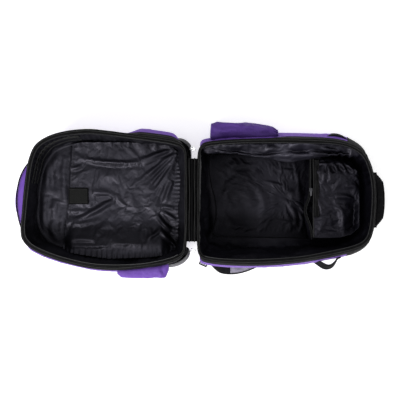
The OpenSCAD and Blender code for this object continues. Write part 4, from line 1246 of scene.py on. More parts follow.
ff[:, 2] += (1.4 * fbm(ff, 46, 85, 3) + far + 1.0) * sstep(0, 0.14, np.repeat(np.arange(1, 29) / 28, NB))
V = np.vstack([W.reshape(-1, 3), ff])
_, F = loft([V[i * NB:(i + 1) * NB] for i in range(len(V) // NB)], cap1=True)
LL = make("lid_lining_cloth", V, F, M_LID)
ringi = np.arange(len(V)) // NB
pin = np.where(ringi < 3, 1.0, np.where(ringi < nW - 3, 0.06, np.where(ringi < nW + 3, 1.0, 0.12)))
V1 = V.copy()


def keep_lid(co):
    co[:, 2] = np.maximum(co[:, 2] * 1000, np.minimum(V1[:, 2] - 0.5, 67.2)) / 1000
    return co


cloth(LL, pin, frames=12, slack=0.03, cap=4.5, bend=0.25, keep=keep_lid)
LC = mesh_co(LL).reshape(-1, NB, 3) * 1000 + [OX, 0, 0]
done(solid(LL, 1.0), "lid", ["lid_lining"], True)
# doubled, gathered cords round the upper far corner of the wall
up_far = seg(LP, (LP[:, 0] < -330) & (LP[:, 1] > 46))
inn = -np.column_stack([LN, np.zeros(NB)])[up_far]
parts = []
for row, rad in ((int(nW * 0.30), 2.1), (int(nW * 0.42), 1.7), (int(nW * 0.60), 1.3)):
    q = resample(LC[row][up_far] + inn * 1.4, step=2.0)
    q[:, 2] += 0.5 * np.sin(np.arange(len(q)) / 2.3) + 0.6
    for _ in range(8):
        q[1:-1] = 0.5 * q[1:-1] + 0.25 * (q[2:] + q[:-2])
    parts.append(sweep(q, circle_sect(rad, 8)))
done(make("lid_gather_cords", *join_vf(parts), M_BIND), "lid", squash=True)

# ------------------------------------------------------------------ slip pocket sheet inside the lid
def free_edge(y):
    return np.interp(y, [-160, -148, 0, 36, 143, 172], [-388, -386, -372, -371, -364, -362])


def sheet_rel(P):
    x, y = P[:, 0], P[:, 1]
    q = np.column_stack([x, y, 0 * x])
    z = 1.5 * fbm(q, 70, 91, 2) + 0.7 * fbm(q, 26, 93, 3)
    z += folds(P, [
        # the bright crossed crease beside the tab
        ((-306, 22), (-262, 26), (-226, 10), 9, 6.5), ((-226, 12), (-280, -34), (-366, -64), 9, 9.0), ((-300, 6), (-262, 2), (-232, 4), 6, -3.2),
        ((-366, -34), (-340, -38), (-312, -28), 7, 5.0), ((-366, -72), (-330, -74), (-292, -62), 7, 4.2), ((-228, 4), (-214, -8), (-196, -20), 7, 3.2),
        # long creases under the top gathers
        ((-330, 124), (-250, 108), (-160, 112), 6, 6.5), ((-318, 114), (-250, 100), (-190, 104), 5, 3.0), ((-366, 96), (-350, 92), (-330, 104), 6, 4.2),
        ((-160, 110), (-120, 116), (-70, 130), 7, 4.2),
        # fan of folds from the upper corner by the fold
        ((-36, 152), (-80, 122), (-142, 68), 8, 9.0), ((-40, 142), (-84, 96), (-128, 46), 7, 8.5), ((-44, 128), (-84, 74), (-118, 18), 7, 7.0),
        ((-40, 158), (-100, 138), (-168, 116), 7, 6.0), ((-52, 104), (-84, 56), (-104, 6), 8, 5.0), ((-58, 70), (-74, 30), (-84, -12), 8, 4.0),
        # crease cluster in the lower corner by the fold
        ((-40, -150), (-70, -118), (-96, -90), 6, 8.5), ((-96, -88), (-110, -104), (-128, -112), 6, 7.0), ((-62, -100), (-86, -72), (-112, -38), 6, 7.5),
        ((-46, -62), (-68, -48), (-96, -34), 6, 5.5), ((-48, -92), (-74, -82), (-104, -58), 5, 5.0), ((-130, -80), (-122, -102), (-132, -126), 8, 5.0),
        ((-52, -28), (-74, -20), (-96, -22), 6, 3.8), ((-150, -60), (-146, -90), (-152, -120), 9, 3.2),
        # slack along the lower hem and the middle
        ((-372, -118), (-330, -112), (-280, -120), 8, 3.6), ((-260, -130), (-200, -126), (-140, -134), 7, 3.4), ((-366, -134), (-300, -140), (-220, -136), 6, 3.0),
        ((-300, 70), (-250, 66), (-200, 76), 12, 2.2), ((-200, 40), (-180, 0), (-176, -50), 13, 2.4), ((-260, -60), (-232, -80), (-226, -110), 12, 2.2)])
    return z


def sheet_pt(u, v):
    y = -175 + 348 * v
    x0 = free_edge(y)
    x1 = np.interp(y, [-175, -150, -110, 0, 120, 150, 173], [-62, -40, -30, -28, -29, -38, -70])
    # the outline is drawn in at the corners with the lid's own shape
    x = x0 + (x1 - x0) * u
    hi = np.interp(x, [-372, -330, -200, -90, -40], [166, 174, 174, 170, 160])
    lo = np.interp(x, [-390, -330, -250, -130, -40], [-150, -162, -174, -170, -158])
    y2 = lo + (hi - lo) * v
    P = np.column_stack([x, y2])
    q = np.column_stack([x, y2, 0 * x])
    top = np.exp(-(hi - y2) / 17.0)
    bot = np.exp(-(y2 - lo) / 11.0)
    foldw = np.exp(-(x1 - x) / 10.0)
    clear = 1 - 0.9 * np.exp(-((x + 309) / 9.0) ** 2) * sstep(-26, -12, y2) * sstep(50, 36, y2)
    e = clear * np.minimum(1, (hi - y2) / 14) * np.minimum(1, (y2 - lo) / 12) * np.minimum(1, (x1 - x) / 12 + 0.05)
    z = 73.2 + sheet_rel(P) * np.clip(e, 0, 1) + 24.0 * sstep(-30, -142, y2) ** 1.3 * sstep(-388, -350, x) * (1 - sstep(-96, -60, x))
    ph = x / 5.1 + 2.6 * frac_noise(q, 38, 95) + 1.2 * np.sin(x / 41)
    z += 3.4 * np.sin(ph) * top * (0.6 + 0.5 * frac_noise(q, 60, 96))
    z += 2.2 * np.sin(x / 2.5 + 2.4 * frac_noise(q, 30, 97)) * bot
    z += 2.5 * np.sin(y2 / 1.9 + 2.0 * frac_noise(q, 22, 98)) * foldw
    z += 8.0 * np.exp(-(x1 - x) / 6.5) + 5.0 * np.exp(-(y2 - lo) / 9.0) + 3.5 * np.exp(-(hi - y2) / 8.0)
    z += 0.9 * np.exp(-(x - x0) / 6.0)
    return np.column_stack([x, y2, np.maximum(z, 69.6)])


o, u_, v_ = grid_sheet(np.linspace(0, 1, 190), np.linspace(0, 1, 190), sheet_pt, "slip_pocket_sheet", M_LID)
pin = np.where((u_ > 0.985) | (v_ < 0.015) | (v_ > 0.985), 1.0, np.where(u_ < 0.015, 0.6, 0.05))
V2 = mesh_co(o) * 1000


def keep_sheet(co):
    co[:, 2] = np.clip(co[:, 2] * 1000, 69.4, V2[:, 2] + 6) / 1000
    return co


cloth(o, pin, frames=14, slack=0.012, cap=3.6, bend=1.2, keep=keep_sheet)
done(solid(o, 0.9), "lid", ["lid_pocket_sheet"], True)
yy = np.linspace(-150, 163, 120)
a = np.column_stack([free_edge(yy) + 1.0, yy, 75.4 + 0.7 * np.sin(yy / 19)])
done(make("slip_pocket_hem", *sweep(a, circle_sect(1.7, 8, 1.0)), M_LIN), "lid", squash=True)
st = stitches(a + [7.5, 0, 1.0], (0, 0, 1), 2.8, 1.7, 0.35)
done(make("slip_pocket_stitching", *st, M_THREADK, smooth=False), "lid", squash=True)

# hook tab and the patch under it
def tab_pt(u, v):
    x = -370.5 + 58.5 * u
    y = -12.2 + 48.4 * v
    z = 76.6 + 0.7 * fbm(np.column_stack([x, y, 0 * x]), 24, 101, 2) + 0.8 * (1 - u) ** 3
    r = np.minimum(np.minimum(u, 1 - u) * 58.5, np.minimum(v, 1 - v) * 48.4)
    z = z - 0.7 * np.exp(-r / 0.9)
    return np.column_stack([x, y, z])


o, _, _ = grid_sheet(np.linspace(0, 1, 56), np.linspace(0, 1, 46), tab_pt, "hook_tab_cloth", M_FUZZ)
done(solid(o, 1.8, bevel=0.4), "tab", ["hook_tab"])
box_ = [(-369, -10.6), (-369, 34.6), (-313.5, 34.6), (-313.5, -10.6), (-369, -10.6)]
e = resample(np.array([(x, y, 77.6) for x, y in box_]), step=2.5)
done(make("hook_tab_edge", *sweep(e, circle_sect(1.3, 8)), M_BAND), "tab")
done(make("hook_tab_stitching", *stitches(resample(np.array([(x * 0.992 - 2.7, y * 0.86 + 1.7, 78.2) for x, y in box_]), step=2), (0, 0, 1), 2.4, 1.5, 0.32), M_THREADK, smooth=False), "tab")
o, _, _ = grid_sheet(np.linspace(0, 1, 30), np.linspace(0, 1, 30), lambda u, v: np.column_stack([-369 + 48 * u, -11 + 44 * v, 70.6 + 0.3 * fbm(np.column_stack([u * 50, v * 50, 0 * u]), 20, 3, 2)]), "loop_patch_cloth", M_FUZZ)
done(solid(o, 1.0), "lid", ["loop_patch"])

# ------------------------------------------------------------------ foams and boards between the cloths
def shell_between(name, top, rings_o, P, Nn, Z, mat, th, node, body, squash):
    V, F = loft([ring(P, Nn, Z, o * (np.minimum(BODY_GAIN, 1) if o > 0 else 1) - 2.5 * (1 - np.minimum(BODY_GAIN, 1)), d, f) for d, o, f in refine(rings_o, 2)])
    o = solid(make(name, V, F, mat), th)
    return done(o, body, [node], squash)


shell_between("body_foam_wall", None, [(17, -0.8, 3.0), (46, 7.0, 6.4), (70, 10.5, 9), (92, 8.5, 11), (112, 3.5, 13), (128, -5, 15.5), (137.5, -15, 19)], BP, BN, BZ, M_FOAM, 2.6, "body_foam", "bag", False)
rows = []
for d, f in ((17, 3.6), (24, 4.6), (32, 5.8), (42, 7.2), (52, 8.6), (62, 10.4), (70, 13), (77, 16)):
    o = np.interp(d, LID_PROF[:, 0], LID_PROF[:, 1]) * (gain + (BELLY - 1) * float(sstep(22, 50, d))) - 5.2
    o = np.minimum(o, float(np.interp(d, [17, 58, 77], [20, 14, -6])) + BOXY * 3.2 * float(sstep(50, 77, d)))
    r = ring(LP, LN, LZ, o, d, f)
    rows.append(np.column_stack([r[:, :2], np.maximum(r[:, 2], 66.2)]))
V, F = loft(rows)
done(solid(make("lid_foam_wall", V, F, M_FOAM), 2.0), "lid", ["lid_foam"], True)
fr = FLR_B + (np.array([280, 8]) - FLR_B) * 0.05
o = disc(np.column_stack([fr, np.full(NB, 20.6)]), 20.6, (280, 0), None, (150, 390), 14, M_FOAM, "back_foam_pad", 0.3, 12)
done(solid(o, 3.4), "bag", ["back_foam"])
o = disc(np.column_stack([fr + (np.array([280, 8]) - fr) * 0.03, np.full(NB, 24.2)]), 24.2, (280, 0), None, (150, 390), 14, M_BOARD, "back_stiffener_board", 0.0, 13)
done(solid(o, 1.8), "bag", ["back_stiffener"])


# ------------------------------------------------------------------ fold strip: one piece across the joint
def strip_pt(u, v):
    x = -15.5 + 31 * u
    y = -119 + 238 * v
    a = np.abs(x)
    z = 151.0 + 2.6 * np.cos(x / 2.35) * np.exp(-(a / 11) ** 2) - 1.8 * sstep(11, 15, a)
    z += 0.5 * np.sin(y / 6.3 + 3 * frac_noise(np.column_stack([x, y, 0 * x]), 20, 3)) + 0.5 * fbm(np.column_stack([x, y * 0.5, 0 * x]), 14, 5, 2)
    return np.column_stack([x, y, z])


def across(o, nodes=()):
    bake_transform(o)
    if nodes:
        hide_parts(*nodes)
    return o


o, _, _ = grid_sheet(np.linspace(0, 1, 42), np.linspace(0, 1, 120), strip_pt, "fold_strip_cloth", M_BAND)
across(solid(o, 1.0), ["hinge_strip", "lid_hinge_strip"])
parts = []
for x0, sd in ((-7.4, 1), (7.4, 2)):
    y = np.linspace(-121, 121, 130)
    p = np.column_stack([x0 + 0.9 * np.sin(y / 26 + sd) + 0.5 * frac_noise(np.column_stack([y, 0 * y, 0 * y]), 15, sd), y, 152.4 + 0.8 * np.sin(y / 33 + sd)])
    parts.append(sweep(p, circle_sect(1.15, 8)))
across(make("fold_strip_cords", *join_vf(parts), M_BIND))
parts = [stitches(np.column_stack([np.full(90, x0), np.linspace(-116, 116, 90), np.full(90, 151.4)]), (0, 0, 1), 2.8, 1.6, 0.35) for x0 in (-11.4, 11.4)]
across(make("fold_strip_stitching", *join_vf(parts), M_THREADK, smooth=False))

# ------------------------------------------------------------------ side pocket on the body
def side_of(P, x, sign):
    """|Y| of a rim curve at a given X on one side."""
    k = (P[:, 1] * sign > 60)
    q = P[k]
    s = np.argsort(q[:, 0])
    return np.interp(x, q[s, 0], np.abs(q[s, 1]))


def sp_pt(u, v):
    x = 57 + 192 * u
    base = side_of(BP, x, 1) + 8
    outer = np.interp(x, [57, 72, 129, 177, 222, 236, 246, 252], [225, 230, 231, 223.5, 218, 215, 208, 199])
    a = np.pi * v
    zc, hz = 78, 43
    c = np.cos(a)
    zz = zc - hz * np.sign(c) * np.abs(c) ** 0.42
    yy = base + (outer - base) * np.sin(a) ** 0.42
    P = np.column_stack([x, yy, zz])
    top = sstep(0.5, 0.9, -c)
    d = 1.7 * fbm(P * [0.6, 1, 1], 40, 111, 3)
    z = zz + top * folds(np.column_stack([x, yy]), [
        ((66, 222), (110, 226), (150, 214), 8, 4.0), ((70, 198), (120, 206), (186, 214), 7, 5.5), ((64, 190), (140, 196), (236, 208), 6, 3.4),
        ((90, 214), (130, 216), (170, 204), 6, -3.2), ((150, 222), (196, 214), (240, 200), 7, 3.6), ((60, 210), (80, 204), (110, 196), 6, 3.0)])
    gather = sstep(0.86, 0.98, u)
    d += gather * 1.5 * np.sin(v * 60)
    nx = np.zeros_like(P)
    nx[:, 1] = np.sin(a)
    nx[:, 2] = -c
    P = P + nx * d[:, None]
    P[:, 2] += z - zz
    return P


# the bottle pocket is drawn in the darker purple copy: painted shade
o, u_, v_ = grid_sheet(np.linspace(0, 1, 100), np.linspace(0, 1, 74), sp_pt, "bottle_pocket_cloth", M_PURPLE_PAINTED_SHADE)
pv = np.where((v_ < 0.02) | (v_ > 0.98), 1.0, np.where((u_ < 0.015) | (u_ > 0.985), 0.5, 0.04))
cloth(o, pv, frames=14, slack=0.03, pressure=0.6, cap=5.0, bend=0.3)
done(solid(o, 1.6), "bag", ["side_pocket"])
uv = np.linspace(0.004, 0.996, 60)
endc = sp_pt(np.zeros(60), uv)
ring_e = np.vstack([endc, endc[::-1] * [1, 0, 1] + np.column_stack([np.zeros(60), np.full(60, side_of(BP, 57, 1) + 6), np.zeros(60)])])
cen = np.array([57.0, 200, 78])
rr = []
for k in range(9):
    t = k / 9
    q = endc * (1 - t) + np.column_stack([np.full(60, 57.0), np.full(60, side_of(BP, 57, 1) + 7), endc[:, 2]]) * t
    q[:, 0] = 57 - 2.2 * np.sin(np.pi * t) + 0.8 * frac_noise(q, 22, 3)
    rr.append(q)
done(solid(make("bottle_pocket_end", *loft(rr, closed=False), M_PURPLE_PAINTED_SHADE), 1.6), "bag")
done(make("bottle_pocket_piping", *sweep(resample(endc, step=4), circle_sect(1.7, 8), up=(1, 0, 0)), M_PURPLE_PAINTED_SHADE), "bag")
m = sp_pt(np.full(90, 1.0), np.linspace(0.01, 0.99, 90)) + [0.5, 0, 0]
sc = 1 + 0.22 * np.sin(np.arange(90) * 1.25)
done(make("bottle_pocket_elastic", *sweep(m, circle_sect(3.4, 10, 2.0), up=(1, 0, 0), scale=sc), M_PURPLE_PAINTED_SHADE), "bag", ["side_pocket_elastic"])

# ------------------------------------------------------------------ box pocket on the lid's side
def lp_pt(u, v):
    x = -217 + 146 * u
    base = side_of(LP * [1, 1], x, -1) + 2
    outer = np.interp(x, [-217, -206, -110, -92, -78, -71], [222, 226, 228.5, 230.5, 227, 214])
    a = np.pi * v
    c = np.cos(a)
    zz = 101 - 27 * np.sign(c) * np.abs(c) ** 0.3
    yy = base + (outer - base) * np.sin(a) ** 0.3
    top = sstep(0.5, 0.9, -c)
    f = folds(np.column_stack([x, yy]), [((-96, 204), (-88, 214), (-92, 230), 5, 3.5), ((-210, 214), (-160, 220), (-110, 216), 7, 2.2), ((-200, 204), (-150, 206), (-100, 210), 6, 1.8)])
    P = np.column_stack([x, yy, zz + top * f])
    d = 1.1 * fbm(P, 36, 121, 3)
    e = np.minimum(1, np.minimum(u, 1 - u) * 14)
    P[:, 1] += np.sin(a) * d * e - 5 * (1 - e)
    P[:, 2] += -c * d * e + 4 * (1 - e) * c
    P[:, 1] *= -1
    return P


o, u_, v_ = grid_sheet(np.linspace(0, 1, 84), np.linspace(0, 1, 64), lp_pt, "lid_box_pocket_cloth", M_PURPLE)
pv = np.where((v_ < 0.02) | (v_ > 0.98), 1.0, np.where((u_ < 0.02) | (u_ > 0.98), 0.6, 0.05))
cloth(o, pv, frames=10, slack=0.02, pressure=0.4, cap=3.0, bend=0.5)
done(solid(o, 1.6), "lid", ["lid_side_pocket"], True)
vv = np.linspace(0.004, 0.996, 50)
parts, cords = [], []
for ue, dx in ((0.0, -1), (1.0, 1)):
    e = lp_pt(np.full(50, ue), vv)
    xb = e[0, 0]
    rr = []
    for k in range(7):
        t = k / 7
        q = e * (1 - t) + np.column_stack([np.full(50, xb), np.full(50, -(side_of(LP, xb, -1) + 1)), e[:, 2]]) * t
        q[:, 0] = xb + dx * 1.5 * np.sin(np.pi * t)
        rr.append(q)
    parts.append(loft(rr, closed=False))
    cords.append(sweep(resample(e, step=4), circle_sect(1.5, 8), up=(1, 0, 0)))
done(solid(make("lid_box_pocket_ends", *join_vf(parts), M_PURPLE), 1.4), "lid", squash=True)
done(make("lid_box_pocket_piping", *join_vf(cords), M_PURPLE), "lid", squash=True)

# ------------------------------------------------------------------ corner guards of the lid
def guard(tag, idx, gz0, gz1, mat, out, nodes, seed):
    G = np.stack([ring(LP, LN, LZ, np.interp(k, [0, 1], [0, 0]), 0) for k in (0,)])[0]
    P, Nn = LP[idx], LN[idx]
    m = len(idx)
    uu = np.linspace(0, 1, m)
    rows = []
    for v in np.linspace(0, 1, 18):
        z = gz1 + (gz0 - gz1) * v
        bulge = out * np.sin(np.pi * (0.1 + 0.8 * v)) ** 0.8 * np.sin(np.pi * np.clip(uu, 0, 1)) ** 0.6
        keepw = np.interp(z, [62, 80, 100, 122], [-14, 2, 8, 4])
        o = keepw + bulge
        Q = P + Nn * o[:, None]
        Q[:, 0] = np.minimum(Q[:, 0], -3.5)
        q = np.column_stack([Q, np.full(m, z)])
        q[:, :2] += Nn * (0.9 * frac_noise(q, 17, seed))[:, None]
        rows.append(q)
    V = np.vstack(rows)
    _, F = loft(rows, closed=False)
    o = solid(make("corner_guard_" + tag, V, F, mat), 2.2)
    done(o, "lid", nodes, True)
    edge_path = np.vstack([rows[0], [r[-1] for r in rows[1:-1]], rows[-1][::-1], [r[0] for r in rows[1:-1]][::-1]])
    done(make("corner_guard_%s_binding" % tag, *sweep(resample(edge_path, step=3.0, closed=True), circle_sect(1.5, 7), closed=True), M_BAND), "lid", squash=True)


cu = seg(LP, (LP[:, 1] > 104) & (LP[:, 0] > -62))
cl = seg(LP, (LP[:, 1] < -138) & (LP[:, 0] > -92))
guard("upper", cu, 64, 120, M_GUARD_D, 13, ["corner_guards"], 131)
guard("lower", cl, 64, 120, M_GUARD, 15, [], 132)

# ------------------------------------------------------------------ webbing loops
def loop(tag, sgn, pts, z, tilt, node, w=24, t=3.4, seed=0, skew=(1, 1, 1)):
    C = spline(np.array([(x, y * sgn, z) for x, y in pts], float), 10, closed=False)
    C = resample(C, step=2.0)
    C[:, 2] += 0.8 * frac_noise(C, 24, seed)
    T = unit(np.gradient(C, axis=0))
    nr = np.cross(T, [0, 0, 1.0]) * (1 if sgn > 0 else -1)
    nr = np.where((nr[:, 1] * sgn > 0)[:, None], nr, -nr)
    lean = tilt * np.sin(np.pi * np.linspace(0.03, 0.97, len(C))) ** 0.7 * np.interp(np.linspace(0, 1, len(C)), [0, 0.4, 1], skew)
    U = unit(nr + np.column_stack([0 * lean, 0 * lean, lean]))
    V, F = sweep(C, strap_sect(w, t), up=U)
    done(make("webbing_loop_" + tag, V, F, M_WEB), "bag", [node])
    # box stitch and bar tacks at the feet
    parts = []
    for a, b in ((2, 9), (len(C) - 10, len(C) - 3)):
        seg_ = C[a:b] + U[a:b] * (t / 2 + 0.15)
        Wd = np.cross(T, U)[a:b]
        for k in (-0.38, -0.13, 0.13, 0.38):
            parts.append(stitches(seg_ + Wd * w * k, U[a], 2.4, 1.2, 0.4))
    done(make("webbing_loop_%s_stitching" % tag, *join_vf(parts), M_THREADK, smooth=False), "bag")


loop("left", 1, [(392, 185), (402, 190), (416, 193), (432, 191.5), (446, 186), (459, 177), (469, 168)], 101, 0.35, "side_loop_left", w=25, t=5.0, seed=3)
loop("right", -1, [(352, 179), (363, 181), (375, 187), (388, 195), (399, 198), (411, 195), (421, 185), (428, 174), (437, 168)], 101, 0.7, "side_loop_right", w=23, t=4.8, seed=4, skew=(1.2, 1.5, 0.35))

# ------------------------------------------------------------------ haul handle
hp = spline([(531, -72, 108), (539.5, -68, 108), (547, -51, 108), (550.8, -26, 108), (551.8, 0, 108), (550.8, 26, 108), (547, 51, 108), (539.5, 68, 108), (531, 72, 108)], 12, closed=False)
hp = resample(hp, step=1.5)
s_ = np.linspace(0, 1, len(hp))
fat = 0.62 + 0.38 * sstep(0.05, 0.2, s_) * sstep(0.95, 0.8, s_)
rib = 1 + 0.045 * np.sin(np.arange(len(hp)) * 1.5 / 5.6 * 2 * math.pi)
a = np.linspace(0, 2 * math.pi, 22, endpoint=False)
sec = np.stack([12.6 * np.sign(np.cos(a)) * np.abs(np.cos(a)) ** 0.75, 13.2 * np.sign(np.sin(a)) * np.abs(np.sin(a)) ** 0.6], 1)
V, F = sweep(hp, sec, up=(0, 0, 1), scale=fat * rib)
V[:, 2] += 0.3 * frac_noise(V, 12, 141)
done(make("haul_handle_padded", V, F, M_HANDLE), "handle", ["haul_handle_grip", "haul_handle"])
parts = []
for zz in (-9.6, 9.6):
    seg_ = hp[18:-18]
    T = unit(np.gradient(seg_, axis=0))
    S = np.cross(T, [0, 0, 1.0])
    S = S * np.sign(S[:, :1] + 1e-9)
    parts.append(stitches(seg_ + S * 11.4 + [0, 0, zz], np.column_stack([S[:, 0], S[:, 1], 0 * S[:, 0]]), 2.8, 1.6, 0.4))
    parts.append(sweep(resample(seg_ + S * 10.0 + [0, 0, zz * 1.24], step=3), circle_sect(1.2, 6)))
done(make("haul_handle_edging", *join_vf(parts), M_BAND, smooth=True), "handle")
parts, tack = [], []
for sy in (-1, 1):
    y = 74.5 * sy
    th = np.linspace(-math.pi / 2, math.pi / 2, 16)
    arcp = np.column_stack([537 + 4.6 * np.cos(th), np.full(16, y), 108 + 8.6 * np.sin(th)])
    path = np.vstack([[515.5, y * 0.985, 97.5], [524, y, 98.5], arcp, [524, y, 117.5], [515.5, y * 0.985, 118.5]])
    path = resample(path, step=1.6)
    nrm = unit(np.gradient(path, axis=0))
    nrm = np.column_stack([nrm[:, 2], 0 * nrm[:, 0], -nrm[:, 0]])
    nrm = np.where(((path - [530, y, 108]) * nrm).sum(1, keepdims=True) > 0, nrm, -nrm)
    parts.append(sweep(path, strap_sect(13, 2.0), up=nrm))
    for k in (-4, 0, 4):
        tack.append(stitches(np.array([(517, y + k, 119.9), (530, y + k, 118.8)]), (0, 0, 1), 1.9, 1.0, 0.4))
done(make("handle_anchor_loops", *join_vf(parts), M_WEB), "bag", ["handle_anchors"])
done(make("handle_anchor_stitching", *join_vf(tack), M_THREADK, smooth=False), "bag")

# ------------------------------------------------------------------ back padding, yoke, straps
def pad_outline(x0, x1, y0, y1, r=16, n=120):
    cx, cy, a, b = (x0 + x1) / 2, (y0 + y1) / 2, (x1 - x0) / 2, (y1 - y0) / 2
    t = np.linspace(0, 2 * math.pi, n, endpoint=False)
    p = 5.0
    rr = (np.abs(np.cos(t)) ** p + np.abs(np.sin(t)) ** p) ** (-1 / p)
    return np.column_stack([cx + a * rr * np.cos(t), cy + b * rr * np.sin(t)])


def pad(P, z0, z1, channels=(), ax=0, seed=0, top_flat=True):
    """A padded form: flat where it is sewn on (z1), crowned on the other face (z0)."""
    h = z1 - z0
    rows = []
    for d, z in ((0, z1), (-0.6, z1 - 0.25 * h), (0.4, z1 - 0.55 * h), (3.5, z1 - 0.82 * h), (9, z0 + 0.05 * h), (14, z0)):
        rows.append(np.column_stack([inset(P, d), np.full(len(P), z)]))
    c = P.mean(0)
    last = rows[-1][:, :2]
    for k in range(1, 10):
        t = k / 10
        q = last * (1 - t) + c * t
        rows.append(np.column_stack([q, np.full(len(P), z0)]))
    V = np.vstack(rows)
    for ch in channels:
        V[:, 2] += 2.6 * np.exp(-((V[:, ax] - ch) / 2.6) ** 2) * (V[:, 2] < z1 - 0.5 * h)
    V[:, 2] = np.clip(V[:, 2] + 0.5 * np.abs(fbm(V, 20, seed, 2)) * (V[:, 2] < z1 - 1), z0, z1)
    _, F = loft(rows, cap1=True)
    return V, F


parts = [pad(pad_outline(68, 308, y0, y1), 0.0, 15.7, (128, 188, 248), 0, k) for k, (y0, y1) in enumerate(((16, 76), (-76, -16)))]
parts.append(pad(pad_outline(140, 236, -13.5, 13.5), 2.0, 15.7, (), 0, 5))
o = make("back_pads_padded", *join_vf(parts), M_MESH)
done(o, "bag", ["back_pads"])
cords = [sweep(np.column_stack([inset(pad_outline(68, 308, y0, y1), -1.5), np.full(120, 14.6)]), circle_sect(1.3, 7), closed=True) for y0, y1 in ((16, 76), (-76, -16))]
done(make("back_pads_binding", *join_vf(cords), M_BAND), "bag")

yk = rounded([(412, -82), (412, 0), (412, 82), (420, 84), (440, 84), (458, 82), (465, 60), (465, 0), (465, -60), (458, -82), (440, -84), (420, -84)], 120)
rows = [np.column_stack([inset(yk, d), np.full(120, z)]) for d, z in ((0, 15.7), (0.3, 14.2), (1.5, 13.6))]
rows += [np.column_stack([rows[-1][:, :2] * (1 - t) + yk.mean(0) * t, np.full(120, 13.6)]) for t in (0.25, 0.5, 0.75, 0.97)]
done(make("strap_yoke_cloth", *loft(rows, cap0=True, cap1=True), M_BLACK), "bag", ["strap_yoke"])


def bez(C, n=80):
    C = np.asarray(C, float)
    t = np.linspace(0, 1, n)[:, None]
    return (1 - t) ** 3 * C[0] + 3 * (1 - t) ** 2 * t * C[1] + 3 * (1 - t) * t ** 2 * C[2] + t ** 3 * C[3]


